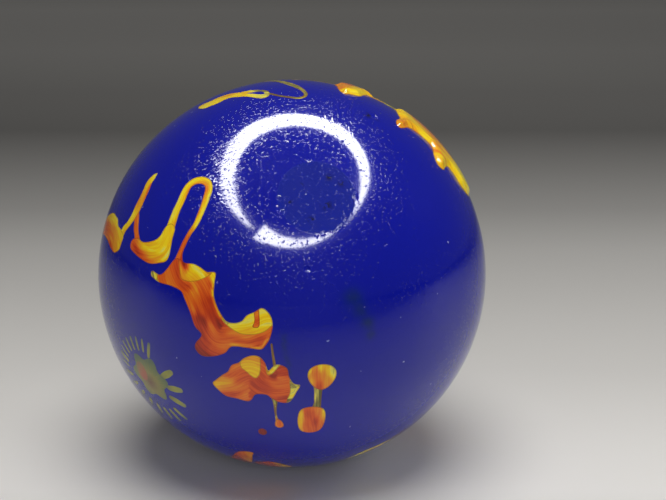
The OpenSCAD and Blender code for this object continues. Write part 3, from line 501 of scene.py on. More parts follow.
# Colour of the coloured glass, 0 to 1 along one run: dark red, red, red-orange,
# orange, amber, yellow, lemon, olive. Each spot is (east, north, colour).
COLOURS = {
    "left_blob": [(-5.5, -1.3, 0.42), (-4.2, -1.5, 0.45), (-2.4, -1.5, 0.55), (-2, -2.2, 0.58),
        (-2.2, -2.8, 0.3), (-0.4, -2.7, 0.62), (-0.9, -1.6, 0.62), (0, -2.4, 0.7)],
    "left_blob_cap": [(-7, 0.2, 0.7), (-3.6, 0, 0.77), (-1.5, -0.3, 0.78), (-1, -0.9, 0.72)],
    "left_thread": [(-0.2, -1.3, 0.74), (0.8, -0.2, 0.72), (1.1, 1, 0.82), (1.9, 1, 0.62), (1.2, 2.4, 0.58),
        (2, 2.4, 0.66), (1.3, 3.4, 0.66), (1.9, 3.4, 0.52), (1.2, 4.5, 0.7), (1.8, 4.3, 0.42),
        (1.5, 5.2, 0.8), (1.6, 5.8, 0.9)],
    "left_leg": [(2, 1, 0.5), (2.4, 0.3, 0.45), (2.9, -0.5, 0.48), (3.3, -1.3, 0.4)],
    "trough": [(-1.5, -0.4, 0.62), (-0.9, -0.5, 0.74), (0.2, -0.6, 0.78), (1.4, -0.3, 0.77),
        (0.6, -1.3, 0.66), (1.7, -1, 0.62), (2.3, -0.8, 0.78), (2, 0.2, 0.7), (2.5, 0.6, 0.72),
        (1.6, 1, 0.76), (2.2, 1.8, 0.74), (1.9, -0.2, 0.95), (2.45, -0.9, 0.88)],
    "trough_rim": [(-2.8, -0.2, 0.42), (-2.3, -0.6, 0.28), (-3.1, -0.7, 0.45), (-2.2, -1.3, 0.36),
        (-1.7, -1.2, 0.22), (-1.3, -1.4, 0.34), (-0.5, -1.6, 0.42), (0.5, -1.7, 0.45), (1.5, -1.8, 0.5)],
    "arch": [(-1.9, -1.6, 0.72), (-1.2, -1.9, 0.6), (-1.6, -0.3, 0.82), (-1, -0.3, 0.68), (-1.5, 1.2, 0.82),
        (-0.9, 1.2, 0.66), (-1.3, 2.2, 0.8), (-0.8, 2.2, 0.56), (-0.6, 3.3, 0.8), (-0.2, 3, 0.6),
        (0.6, 3.7, 0.78), (0.5, 3.1, 0.52), (1.6, 3.1, 0.76), (1.1, 2.7, 0.48), (1.8, 1.8, 0.9),
        (1.3, 1.8, 0.58), (1.6, 0.4, 0.9), (1.2, 0.4, 0.56), (1.4, -1, 0.86), (1, -1.8, 0.52),
        (0.6, -2.6, 0.42), (0.2, -3.6, 0.42), (-0.1, -4.4, 0.5), (0.3, -4.6, 0.3)],
    "tall_flake": [(-4.1, 3.6, 0.36), (-3.6, 4.2, 0.34), (-5.4, 2.4, 0.4), (-4.8, 1.8, 0.56),
        (-4.6, 2.6, 0.48), (-3.8, 2.7, 0.33), (-3, 2, 0.27), (-2.4, 1.8, 0.24), (-1.9, 2.25, 0.56),
        (-2.9, 2.3, 0.52), (-0.8, 2.35, 0.46), (-0.2, 2.7, 0.5), (0.1, 1.9, 0.14), (0.35, 1.7, 0.6),
        (-2.5, 0.6, 0.47), (-1.9, 1.2, 0.58), (-1.3, 1, 0.42), (-0.8, 1.4, 0.36), (-0.5, 0.4, 0.3),
        (0.1, 0.7, 0.14), (-1.8, -0.3, 0.46), (-0.9, -0.3, 0.4), (0.2, -0.5, 0.2), (-0.6, -1.4, 0.12),
        (-1.2, -1.3, 0.16), (0.9, -1.1, 0.18), (1.2, -1.6, 0.12), (0.1, -1.9, 0.52), (-0.9, -2.1, 0.24),
        (0.4, -2.8, 0.42), (1.3, -2.2, 0.34), (0.6, -3.8, 0.54), (1.3, -3.9, 0.5), (2.1, -3.3, 0.46),
        (3.1, -3, 0.36), (4.1, -3.1, 0.34), (5.3, -2.6, 0.28), (5.5, -3.3, 0.2), (3.6, -2.55, 0.56),
        (2.3, -2.2, 0.52), (5.6, -2.1, 0.5), (4.6, -3.7, 0.44), (1, -0.4, 0.5), (0.3, 2.6, 0.86),
        (0.38, 1.2, 0.86), (-1.55, 1.5, 0.62)],
    "tall_crest": [(-3.1, 3.8, 0.08), (-2.4, 3.1, 0.76), (-3.2, 3.3, 0.6), (-1.3, 3.4, 0.86),
        (-2, 3.8, 0.84), (-0.5, 3.2, 0.62), (-2.4, 2.5, 0.62), (-1.4, 2.7, 0.66), (0.1, 3.4, 0.7)],
    "tall_toe": [(1.9, -1.5, 0.84), (2.6, -1.9, 0.8), (3.1, -1.6, 0.77), (3.8, -0.9, 0.83), (4, -2.1, 0.66),
        (5.5, -0.9, 0.72), (5.3, -1.8, 0.68), (6.1, -1, 0.86), (5.4, 0.1, 0.8), (3, -2.2, 0.62),
        (4.2, -0.2, 0.8)],
    "tall_fold": [(4.5, -0.2, 0.5), (4.6, -0.8, 0.46), (4.85, -1, 0.34), (4.5, -1.5, 0.54)],
    "tall_heel": [(-1.3, -4.2, 0.16), (-0.5, -3.9, 0.2), (0.1, -3.6, 0.3), (0.3, -4.4, 0.42),
        (-0.6, -4.7, 0.14), (-0.7, -3.1, 0.26)],
    "tall_tail": [(-7.1, 2.5, 0.9), (-6.4, 2.4, 0.82), (-6.8, 2.15, 0.9)],
    "centre_flake": [(-0.8, -0.2, 0.27), (-3.8, -0.2, 0.58), (-3, 1, 0.42), (-2.4, 1.9, 0.5), (0, 1.4, 0.3),
        (-1.3, -1, 0.34), (-2, -1.4, 0.5), (-2.3, -0.6, 0.52), (-2.9, -1.4, 0.28), (-1.7, -1.9, 0.44),
        (1.3, 1.2, 0.18), (2, 0.9, 0.52), (2.4, 1.2, 0.24), (1.3, 0, 0.46), (2.1, -0.8, 0.42),
        (1.7, -1.5, 0.26), (1, -1.3, 0.42), (-0.1, -0.7, 0.34), (-4.8, -0.6, 0.7), (0.1, 2.6, 0.4),
        (0.2, -0.2, 0.28), (-2, 0.6, 0.36), (-0.4, 0.4, 0.3)],
    "centre_crest": [(-1.3, 2.3, 0.7), (-0.8, 1.3, 0.72), (-0.6, 2.4, 0.66), (-1.8, 2.9, 0.62)],
    "centre_notch": [(0.7, 1.5, 0.72), (1.2, 2.3, 0.82)],
    "centre_spot": [(-3.8, -0.2, 0.64)],
    "centre_tip": [(3.2, 0, 0.9), (2.9, -1.2, 0.84), (2.6, -1.8, 0.95)],
    "centre_drip": [(1.1, -2, 0.97), (1.1, -3.4, 1), (1.4, -5, 0.42), (1.7, -5, 0.5)],
    "centre_thread": [(1, 4, 1), (1.2, 2.6, 0.96)],
    "red_dot": [(-0.5, -6.5, 0.12)],
    "upper_drop": [(-0.8, 3.2, 0.84), (0.2, 3.6, 0.8), (1.2, 3, 0.78), (0.9, 2, 0.66), (0.3, 1.5, 0.36),
        (0.1, 1.25, 0.3), (-0.6, 1.9, 0.64), (1.1, 1.9, 0.5), (1.5, 3.1, 0.88)],
    "upper_drop_heart": [(-0.1, 2.8, 0.46), (0.3, 2.4, 0.52), (-0.5, 2.8, 0.42)],
    "drop_stem": [(0, 0.9, 0.96), (0.4, 0.3, 1), (-0.2, 0.2, 0.88), (0.2, -0.8, 1)],
    "lower_drop": [(-1.4, -2.4, 0.74), (-0.8, -2.2, 0.28), (-0.2, -2.2, 0.4), (0.5, -2.2, 0.5),
        (1.1, -2.4, 0.78), (0.1, -3.2, 0.22), (-0.9, -3.6, 0.42), (0.6, -3.6, 0.46), (0, -5, 0.4),
        (-0.2, -1.4, 0.52), (0.9, -1.7, 0.82), (-1.4, -3.2, 0.7)],
    "crown_trail": [(-2, -3, 0.82), (-1.6, -1.6, 0.78), (-1.4, -0.6, 0.6), (0, 0, 0.78), (1.5, 0.6, 0.84),
        (2.9, 1.4, 0.9), (1.6, 2.2, 0.97), (0.8, 0.5, 0.66), (-2.6, -0.8, 0.66)],
    "crown_loop": [(-1, 5.4, 0.95), (3, 5.4, 0.96), (5.6, 4.5, 0.95), (4.5, 2.6, 0.99)],
    "ridge_thread": [(2.5, 5, 0.95), (1.6, 2, 0.9)],
    "crown_flake": [(-2.7, 1.6, 0.66), (-2.2, 0.8, 0.78), (-1, 0.4, 0.77), (0.6, -0.6, 0.74),
        (1.4, -1.5, 0.66), (2, 0, 0.74)],
    "crown_flake_head": [(-1.4, 2.3, 0.52), (0, 2.2, 0.56), (1, 1.2, 0.44), (2, 1.2, 0.56)],
    "crown_threads": [(1, -2.3, 0.66), (1, -3.7, 0.93), (2.4, -3, 0.97), (2.3, -4.6, 0.9)],
    "shoulder_trail": [(1.5, 4.3, 0.74), (0.2, 3.6, 0.76), (-1.2, 3.4, 0.62), (-0.6, 2.4, 0.74),
        (-1, 1.2, 0.8), (0.6, 2, 0.66), (1.6, 1, 0.5), (0, 0, 0.6), (-0.6, -0.8, 0.56), (-1.8, -1, 0.5),
        (-2.8, -1.6, 0.66), (-2.6, -2.3, 0.84), (-1.4, -2, 0.76), (0.2, -1.6, 0.72), (1.6, -1.4, 0.56),
        (2.6, 2.4, 0.5), (-1.3, 2.1, 0.56), (2.4, -2.2, 0.5)],
    "shoulder_knob": [(-3.4, 3.7, 0.58), (-2.8, 3.8, 0.5), (-2, 3.8, 0.58), (-1.7, 2.8, 0.64),
        (-3, 3.3, 0.7)],
    "shoulder_tail": [(-0.4, -3.4, 0.78), (0.2, -4.6, 0.84), (0.9, -6.2, 0.9), (1.8, -4, 0.8)],
    "foot_flake": [(-0.6, 2.6, 0.42), (-1.6, 1, 0.26), (0.4, 2.6, 0.56), (-0.4, 0.6, 0.56), (-2.2, 0, 0.3)],
    "foot_lip": [(0.6, -0.3, 0.26), (1.8, 0.4, 0.34), (2.6, 0, 0.62), (2.8, -1.6, 0.66), (1.2, -1.6, 0.3)],
    "foot_trail": [(-0.9, -3.2, 0.96), (-1.2, -1.6, 0.84), (-0.4, -0.2, 0.82), (0.3, 0.6, 0.8),
        (0.5, -0.4, 0.66), (1.6, 1.4, 0.97), (2.6, 2.4, 1)],
    "rear_flake": [(-4.4, 2.6, 0.4), (-2.4, 1.2, 0.3), (-1, 0.4, 0.46), (0.2, -1, 0.22), (-0.4, -3.2, 0.34),
        (1.6, -1.8, 0.44), (3.4, -1.4, 0.62), (4.4, -1.4, 0.74), (-1.4, 2, 0.54), (0.2, 2.4, 0.5)],
    "rear_flake_crest": [(-2.4, 3.2, 0.72), (-1.2, 3.2, 0.78), (0, 3.4, 0.7)],
    "rear_wave": [(-4.4, 3.6, 0.84), (-3.6, 0.6, 0.7), (-3, -1.6, 0.52), (-1.6, -2.6, 0.76),
        (-0.2, -2.2, 0.78), (0.4, 0, 0.72), (1.6, 3.2, 0.8), (3, 1.4, 0.6), (4, -2.6, 0.44)],
    "rear_hook": [(-2.5, -2, 0.46), (-1.8, 0.6, 0.36), (0, 1.6, 0.54), (1.5, 0.4, 0.72), (1.2, -1.3, 0.86)],
    "under_flake": [(-2.6, -0.2, 0.34), (-1, 0.6, 0.46), (0.6, 0.2, 0.26), (2.2, 0.4, 0.62),
        (-1.2, -1.2, 0.42), (2.9, 0.6, 0.72)],
    "under_trail": [(-3.8, 0.8, 0.84), (-1.2, 0.6, 0.74), (0.6, -0.1, 0.6), (2.4, -1, 0.76),
        (4.2, 0, 0.88)],
}

# Lines that the colour streaks follow, where a piece isn't a thread.
SPINES = {
    "left_blob": [(-7.5, -1), (-4.5, -0.9), (-2, -1.4), (-0.3, -2.8)],
    "trough": [(-2.9, -0.4), (-1.5, -0.9), (0.2, -1), (1.5, -0.5), (2.1, 0.8), (2.1, 2.3)],
    "tall_flake": [(-4, 4.1), (-3.3, 2.6), (-1.9, 1.6), (-0.9, -0.2), (-0.3, -1.8), (0.7, -3), (2.4, -2.9),
        (4.2, -2.6), (5.9, -1.8)],
    "tall_crest": [(-3.4, 2.9), (-2.2, 3), (-0.9, 3.1), (0.3, 3.3)],
    "tall_toe": [(1.6, -1.1), (2.6, -1.7), (4, -1.6), (5.4, -1.2), (6.2, -0.4)],
    "tall_heel": [(-0.7, -2.7), (-0.6, -3.6), (-0.5, -5)],
    "centre_flake": [(-4.8, -0.7), (-3, -0.2), (-1.2, 0.9), (-0.2, 0), (1.2, -0.6), (2.6, -0.4)],
    "lower_drop": [(-0.2, -1.2), (-0.1, -3), (0.2, -5.1)],
    "crown_trail": [(-2.2, -3.4), (-1.8, -1.4), (-0.2, 0.1), (1.8, 0.8), (3.1, 1.5)],
    "crown_flake": [(-1.6, 2.4), (-1.4, 1), (0.6, -0.4), (1.6, -1.6)],
    "shoulder_trail": [(2, 5), (0.4, 3.4), (0.2, 1.4), (0.6, -0.6), (0.4, -2.6), (0.8, -6.6)],
    "rear_flake": [(-4.8, 2.4), (-2.2, 2), (-0.9, 0.2), (0.2, -1.6), (2.2, -1.8), (4.4, -1.3)],
    "under_flake": [(-3.2, -0.4), (-1, 0), (1, 0.4), (3.2, 0.2)],
}
THREADS = {"left_thread", "left_leg", "arch", "centre_drip", "centre_thread", "drop_stem",
           "crown_loop", "ridge_thread", "crown_near", "crown_far", "foot_trail", "rear_wave",
           "rear_hook", "under_trail"}


def pebble(middle, across, along, taper, squareness):
    """A round drop: taper widens its top, and a squareness under 1 fills its corners."""
    turns = np.radians(np.arange(0, 360, 30))
    east, north = np.cos(turns), np.sin(turns)
    wide = np.sign(east) * np.abs(east) ** squareness * (1 + taper * north)
    tall = np.sign(north) * np.abs(north) ** squareness
    return np.stack([middle[0] + across / 2 * wide, middle[1] + along / 2 * tall], 1)


ROUND = {
    "red_dot": oval((-0.5, -6.5), 0.9, 1.1),
    "centre_spot": oval((-3.9, -0.25), 1.2, 0.9),
    "upper_drop_heart": oval((-0.1, 2.75), 1.3, 1.3),
    "upper_drop": smooth_loop(pebble((0.4, 2.4), 2.75, 2.9, 0.25, 1)),
    "lower_drop": smooth_loop(pebble((-0.35, -3.1), 2.75, 3.9, 0.1, 0.75)),
}


def outline_of(key):
    if key in ROUND:
        return ROUND[key]
    return thread_outline(LINES[key]) if key in THREADS else smooth_loop(LINES[key])


# ------------------------------------------------------------- building the coloured glass
made = {}
scrap = []


# The glass at the upper right stands up a little past the ball's outline in the photo.
DOMES = {"crown_flake": 0.45, "crown_near": 0.2, "crown_far": 0.25, "shoulder_trail": 0.45,
         "ridge_thread": 0.2}


def lens(key, place, depth, outline=None):
    edge = outline_of(key) if outline is None else outline
    obj = plate(f"{key}_glass", place, edge, depth, dome=DOMES.get(key, 0.0))
    made[key] = {"obj": obj, "place": place, "outline": edge}


def cutter(place, outline, depth=CUT_DEPTH):
    """A tall plug over an outline, from a set depth to well clear of the skin."""
    obj = plate("tool", place, outline, depth, over=1.0, cell=0.5)
    co = points_of(obj.data) / MM
    n = len(co) // 2
    dirs = co[n:] / np.linalg.norm(co[n:], axis=1)[:, None]
    co[n:] = dirs * (R - depth)
    obj.data.vertices.foreach_set("co", (co * MM).ravel())
    obj.data.update()
    scrap.append(obj)
    return obj


def copy_of(obj, name):
    twin = bpy.data.objects.new(name, obj.data.copy())
    bpy.context.scene.collection.objects.link(twin)
    return twin


def patch_over(host, key, depth=PATCH_DEPTH):
    """Splits a second colour off the host's top, where its own outline covers it."""
    place = made[host]["place"]
    tool = cutter(place, outline_of(key), depth)
    piece = copy_of(made[host]["obj"], f"{key}_glass")
    combine(piece, tool, "INTERSECT")
    combine(made[host]["obj"], tool, "DIFFERENCE")
    made[key] = {"obj": piece, "place": place, "outline": made[host]["outline"],
                 "second": outline_of(key)}


def keep_clear(name, *others):
    """Ends a thread where it runs into the pieces it joins."""
    for key in others:
        combine(made[name]["obj"], cutter(made[key]["place"], outline_of(key)), "DIFFERENCE")


# The whole pieces of each group, before they are divided into colours
GROUPS = [
    (LEFT, ("left_blob", "left_thread", "left_leg")), (TROUGH, ("trough",)), (ARCH, ("arch",)),
    (TALL, ("tall_flake",)), (CENTRE, ("centre_flake", "centre_drip", "centre_thread", "red_dot")),
    (DROPS, ("upper_drop", "drop_stem", "lower_drop")), (CROWN, ("crown_trail", "crown_loop")),
    (CREST, ("ridge_thread", "crown_flake", "crown_near", "crown_far")),
    (SHOULDER, ("shoulder_trail",)), (FOOT, ("foot_flake", "foot_lip")),
    (FOOT_RIGHT, ("foot_trail",)), (REAR, ("rear_flake",)), (REAR_LOW, ("rear_wave",)),
    (HOOK, ("rear_hook",)), (UNDER, ("under_flake",)), (UNDER_LEFT, ("under_trail",)),
]
# The colours laid over a piece. One more, tall_fold, lies over tall_toe.
PATCHES = {
    "left_blob": ("left_blob_cap",), "trough": ("trough_rim",),
    "tall_flake": ("tall_crest", "tall_toe", "tall_heel", "tall_tail"),
    "centre_flake": ("centre_crest", "centre_notch", "centre_spot", "centre_tip"),
    "upper_drop": ("upper_drop_heart",), "crown_flake": ("crown_flake_head",),
    "shoulder_trail": ("shoulder_knob", "shoulder_tail"), "rear_flake": ("rear_flake_crest",),
}
HOSTS = {key: host for host, keys in PATCHES.items() for key in keys}
HOSTS["tall_fold"] = "tall_flake"

for place, keys in GROUPS:
    for key in keys:
        lens(key, place, THREAD_DEPTH if key in THREADS else FLAKE_DEPTH)
combine(made["crown_trail"]["obj"], cutter(CROWN, smooth_loop(LINES["crown_slot"])), "DIFFERENCE")

# The ball's seats are cut with the whole lenses, before they are divided into colours.
seats = [copy_of(item["obj"], f"{key}_seat") for key, item in made.items()]

keep_clear("left_thread", "left_blob")
keep_clear("left_leg", "left_thread", "trough")
keep_clear("arch", "trough", "tall_flake")
keep_clear("centre_drip", "centre_flake")
keep_clear("centre_thread", "centre_flake")
keep_clear("drop_stem", "upper_drop", "lower_drop")
keep_clear("crown_loop", "crown_trail")
keep_clear("ridge_thread", "crown_flake")
keep_clear("crown_near", "crown_flake", "shoulder_trail")
keep_clear("crown_far", "crown_flake", "shoulder_trail")
keep_clear("foot_lip", "foot_flake")

for host, keys in PATCHES.items():
    for key in keys:
        patch_over(host, key)
patch_over("tall_toe", "tall_fold", FOLD_DEPTH)


# ------------------------------------------------------------- flowers
PETAL_REACH, PETAL_SWELL, PETALS = 2.5, 0.35, 6


def petal_loop():
    turns = np.radians(np.arange(0, 360, 5))
    reach = PETAL_REACH + PETAL_SWELL * np.cos(PETALS * turns)
    return np.stack([0.1 + reach * np.cos(turns), 0.6 + reach * np.sin(turns)], 1)


def ray_line(ray):
    turn = math.radians(ray[0])
    way = np.array([math.cos(turn), math.sin(turn)])
    return [(*(way * ray[1]), ray[3] * 0.8), (*(way * (ray[1] + ray[2]) / 2), ray[3]),
            (*(way * ray[2]), ray[3] * 0.8)]


def flower(prefix, place, rays):
    heart = oval((-0.9, 1.1), 1.6, 2.3)
    lens(prefix + "_petals", place, FLOWER_DEPTH, outline=petal_loop())
    seats.append(copy_of(made[prefix + "_petals"]["obj"], prefix + "_petals_seat"))
    patch = copy_of(made[prefix + "_petals"]["obj"], prefix + "_heart_glass")
    tool = cutter(place, heart)
    combine(patch, tool, "INTERSECT")
    combine(made[prefix + "_petals"]["obj"], tool, "DIFFERENCE")
    made[prefix + "_heart"] = {"obj": patch, "place": place, "outline": heart}
    parts = []
    for i, ray in enumerate(rays):
        outline = thread_outline(ray_line(ray), 4)
        parts.append(plate(f"{prefix}_ray_{i}", place, outline, FLOWER_DEPTH, cell=0.16))
        seats.append(copy_of(parts[-1], f"{prefix}_ray_{i}_seat"))
        combine(parts[-1], cutter(place, petal_loop()), "DIFFERENCE")
    made[prefix + "_rays"] = {"parts": parts, "place": place, "rays": rays}


flower("front_flower", FRONT_FLOWER, FRONT_RAYS)
flower("side_flower", SIDE_FLOWER, CANE_RAYS)
flower("rear_flower", REAR_FLOWER, CANE_RAYS)


def join(name, parts):
    points, faces, start = [], [], 0
    for p in parts:
        co = points_of(p.data) / MM
        points.append(co)
        faces += [[v + start for v in f.vertices] for f in p.data.polygons]
        start += len(co)
        scrap.append(p)
    return new_object(name, np.vstack(points), faces)


for name, item in list(made.items()):
    if "parts" in item:
        item["obj"] = join(f"{name}_glass", item["parts"])
near, far = made.pop("crown_near"), made.pop("crown_far")
made["crown_threads"] = {"obj": join("crown_threads_glass", [near["obj"], far["obj"]]),
                         "place": near["place"], "outline": near["outline"]}


# ------------------------------------------------------------- the ball
def round_ball():
    bpy.ops.mesh.primitive_ico_sphere_add(subdivisions=7, radius=1.0)
    obj = bpy.context.object
    obj.name = "ball_glass"
    bm = bmesh.new()
    bm.from_mesh(obj.data)
    pontil = axes_at(PONTIL_PLACE)[2]
    spots = [(pontil, PONTIL_R + 0.8)] + [(d, size + 0.3) for d, size, _ in HOLLOWS[:len(PITS)]]
    for _ in range(2):
        bm.verts.ensure_lookup_table()
        here = set()
        for v in bm.verts:
            d = np.array(v.co.normalized())
            if any(d @ c > math.cos(reach / R) for c, reach in spots):
                here.add(v)
        edges = [e for e in bm.edges if e.verts[0] in here and e.verts[1] in here]
        bmesh.ops.subdivide_edges(bm, edges=edges, cuts=1, use_grid_fill=True)
        bmesh.ops.triangulate(bm, faces=[f for f in bm.faces if len(f.verts) > 3])
    bm.to_mesh(obj.data)
    bm.free()
    co = points_of(obj.data)
    dirs = co / np.linalg.norm(co, axis=1)[:, None]
    co = dirs * (ball_radius(dirs) * MM)[:, None]
    obj.data.vertices.foreach_set("co", co.ravel())
    obj.data.update()
    return obj


ball = round_ball()
for seat in seats:
    combine(ball, seat, "DIFFERENCE")
scrap += seats

open_edges = sum(tidy_mesh(obj.data) for obj in [ball] + [item["obj"] for item in made.values()])
print("edges without exactly two faces:", open_edges)
for tool in scrap:
    if tool.name in bpy.context.scene.objects:
        bpy.data.objects.remove(tool, do_unlink=True)


# ------------------------------------------------------------- what the materials read
# Overlaid colours that fade into their flake. The others meet it at a crisp edge.
BLENDED = {"tall_heel", "trough_rim", "left_blob_cap", "crown_flake_head", "shoulder_tail",
           "centre_spot", "upper_drop_heart"}


ALONG_WEIGHT = 0.16         # a mm along the streaks counts this much of one across, squared


def tone_at(points, name, host):
    """Colour spread from the named spots, further along the streaks than across them."""
    spots = list(COLOURS[name])
    if name in BLENDED or name == host:
        for key in sorted(BLENDED | {host}):
            if key != name and HOSTS.get(key, key) == host:
                spots += COLOURS[key]
    spots = np.array(spots)
    here, there = flow_at(points, host), flow_at(spots[:, :2], host)
    gap = ((here[:, None, :] - there[None, :, :]) ** 2 * (1.0, ALONG_WEIGHT)).sum(2)
    weight = 1 / (gap + 0.03) ** 1.6
    return (weight * spots[:, 2]).sum(1) / weight.sum(1)


def flow_at(points, host):
    host = "crown_near" if host == "crown_threads" else host
    spine = LINES[host] if host in THREADS else SPINES.get(host)
    return points if spine is None else along_line(points, spine)


# The pale lips of the tall flake, down its right edge and along its foot
TALL_RIGHT = [(0.3, 3.2), (0.3, 1.25), (0.65, 0.2), (1.15, -0.7)]
TALL_FOOT = [(5.9, -2.6), (5, -3.6), (3.75, -3.5), (2.25, -3.5)]
LIP_TONE = 0.78
LIP_STRENGTH = 0.8
LIP_WIDTH = 0.15

for name, item in made.items():
    mesh = item["obj"].data
    co = points_of(mesh)
    dirs = co / np.linalg.norm(co, axis=1)[:, None]
    points = over_skin(item["place"], dirs)
    if "flower" in name:
        reach = np.hypot(points[:, 0], points[:, 1])
        turn = np.arctan2(points[:, 1], points[:, 0])
        flow = np.stack([turn * 4, reach, 0 * reach], 1)
        put(mesh, "reach", reach)
    else:
        host = HOSTS.get(name, name)
        flow = flow_at(points, host)
        flow = np.stack([flow[:, 0], flow[:, 1], 0 * flow[:, 0]], 1)
        tone = tone_at(points, name, host)
        rim = far_from(points, item["outline"])
        if name == "tall_flake":
            lip = np.minimum(far_from(points, np.array(TALL_RIGHT), closed=False),
                             far_from(points, np.array(TALL_FOOT), closed=False))
            tone += (LIP_TONE - tone) * LIP_STRENGTH * np.exp(-(lip / LIP_WIDTH) ** 2)
        if "second" in item and name not in BLENDED:
            rim = np.minimum(rim, far_from(points, item["second"]))
        put(mesh, "rim", rim)
        put(mesh, "tone", tone)
    put(mesh, "flow", flow)

# Dirt on the ground flat and thin smears of green in the skin: (longitude, latitude, mm)
DIRT = [(-1, 34, 0.3), (11, 33, 0.45), (6, 29, 0.35), (17, 39, 0.3), (9, 38, 0.25), (13, 41, 0.3),
        (3, 39, 0.2), (52, 60, 0.5), (49, 61, 0.4), (46, 61, 0.3)]
SMUDGES = [(16, 8, 0.9), (18, 5, 0.8), (20, 1, 0.7), (21, -2, 0.5)]
TRAIL = [(-2, -1), (-2, -5), (-1, -9), (-1, -13)]


def blot(dirs, marks):
    out = np.zeros(len(dirs))
    for lon, lat, size in marks:
        middle = axes_at((lon, lat))[2]
        run = np.arccos(np.clip(dirs @ middle, -1, 1)) * R
        out = np.maximum(out, np.exp(-(run / size) ** 2))
    return out


co = points_of(ball.data)
dirs = co / np.linalg.norm(co, axis=1)[:, None]
front = over_skin((0, 0), dirs)
trail = np.array([over_skin((0, 0), axes_at(place)[2][None, :])[0] for place in TRAIL])
from_trail = far_from(front, trail, closed=False)
put(ball.data, "dirt", blot(dirs, DIRT))
put(ball.data, "smudge", np.maximum(blot(dirs, SMUDGES), 0.7 * np.exp(-(from_trail / 0.25) ** 2)))
off_flat = np.arccos(np.clip(dirs @ axes_at(PONTIL_PLACE)[2], -1, 1)) * R
put(ball.data, "ground", np.clip((PONTIL_R + 0.1 - off_flat) / 0.2, 0, 1))
put(ball.data, "scratched", blot(dirs, [(-28, 38, 2.4), (-30, 46, 2.0)]))
put(ball.data, "frayed", blot(dirs, [(36, 65, 2.2), (28, 61, 1.8)]))

polish(ball)
for item in made.values():
    polish(item["obj"])


# ------------------------------------------------------------- materials
def linear(rgb):
    return tuple(((c / 255 + 0.055) / 1.055) ** 2.4 if c > 10 else c / 3294 for c in rgb) + (1.0,)


def run_of(*stops):
    return [(at, linear(rgb)) for at, rgb in stops]


class Nodes:
    """A short way to write a material's nodes."""

    def __init__(self, name, roughness):
        self.material = bpy.data.materials.new(name)
        self.material.use_nodes = True
        self.tree = self.material.node_tree
        self.shader = self.tree.nodes["Principled BSDF"]
        self.shader.inputs["Roughness"].default_value = roughness
        self.shader.inputs["IOR"].default_value = 1.5

    def add(self, kind, settings=None, inputs=None):
        node = self.tree.nodes.new(kind)
        for key, value in (settings or {}).items():
            setattr(node, key, value)
        for key, value in (inputs or {}).items():
            if isinstance(value, bpy.types.NodeSocket):
                self.tree.links.new(value, node.inputs[key])
            else:
                node.inputs[key].default_value = value
        return node

    def read(self, name, out="Fac"):
        return self.add("ShaderNodeAttribute", {"attribute_name": name}).outputs[out]

    def maths(self, how, *values):
        node = self.add("ShaderNodeMath", {"operation": how})
        for i, value in enumerate(values):
            if isinstance(value, bpy.types.NodeSocket):
                self.tree.links.new(value, node.inputs[i])
            else:
                node.inputs[i].default_value = value
        return node.outputs[0]

    def noise(self, vector, scale, detail=2.0, stretch=None):
        if stretch is not None:
            vector = self.add("ShaderNodeMapping", inputs={"Vector": vector, "Scale": stretch}).outputs[0]
        return self.add("ShaderNodeTexNoise", inputs={"Vector": vector, "Scale": scale,
                                                      "Detail": detail}).outputs["Fac"]

    def sparse(self, value, above, gain):
        """Nothing below a level, and a slope above it: separate marks in a smooth skin."""
        return self.maths("MULTIPLY", self.maths("MAXIMUM", self.maths("SUBTRACT", value, above), 0.0), gain)

    def ramp(self, value, stops):
        node = self.add("ShaderNodeValToRGB", inputs={"Fac": value})
        bar = node.color_ramp.elements
        for _ in range(len(stops) - len(bar)):
            bar.new(0.5)
        for element, (place, colour) in zip(bar, stops):
            element.position = place
            element.color = colour
        return node.outputs["Color"]

    def mix(self, amount, a, b):
        node = self.add("ShaderNodeMix", {"data_type": "RGBA"})
        for key, value in ((0, amount), (6, a), (7, b)):
            if isinstance(value, bpy.types.NodeSocket):
                self.tree.links.new(value, node.inputs[key])
            else:
                node.inputs[key].default_value = value
        return node.outputs[2]

    def bump(self, height, distance):
        node = self.add("ShaderNodeBump", inputs={"Height": height, "Distance": distance})
        self.tree.links.new(node.outputs[0], self.shader.inputs["Normal"])

    def send(self, socket, to):
        self.tree.links.new(socket, self.shader.inputs[to])

    def place(self):
        return self.add("ShaderNodeTexCoord").outputs["Object"]


GLASS_RUN = run_of(
    (0, (92, 26, 18)), (0.14, (132, 38, 22)), (0.28, (186, 58, 24)), (0.4, (214, 88, 26)),
    (0.5, (222, 116, 32)), (0.6, (226, 148, 30)), (0.7, (232, 184, 22)), (0.78, (238, 210, 26)),
    (0.86, (226, 216, 92)), (0.93, (150, 140, 66)), (1, (92, 88, 40)))


def streaky(name):
    """Opaque glass whose colour runs in fine streaks along the piece."""
    m = Nodes(name, 0.13)
    flow = m.read("flow", "Vector")
    fine = m.noise(flow, 1.0, 3.0, (7.0, 0.45, 1.0))
    broad = m.noise(flow, 1.0, 1.0, (2.6, 0.3, 1.0))
    tone = m.maths("MULTIPLY_ADD", m.maths("SUBTRACT", fine, 0.5), 0.32, m.read("tone"))
    tone = m.maths("MULTIPLY_ADD", m.maths("SUBTRACT", broad, 0.5), 0.24, tone)
    colour = m.ramp(tone, GLASS_RUN)
    thin = m.maths("MULTIPLY", m.maths("LESS_THAN", m.read("rim"), 0.08), 0.5)
    m.send(m.mix(thin, colour, linear((120, 52, 22))), "Base Color")
    m.bump(m.noise(m.place(), 900.0), 0.000003)
    return m.material


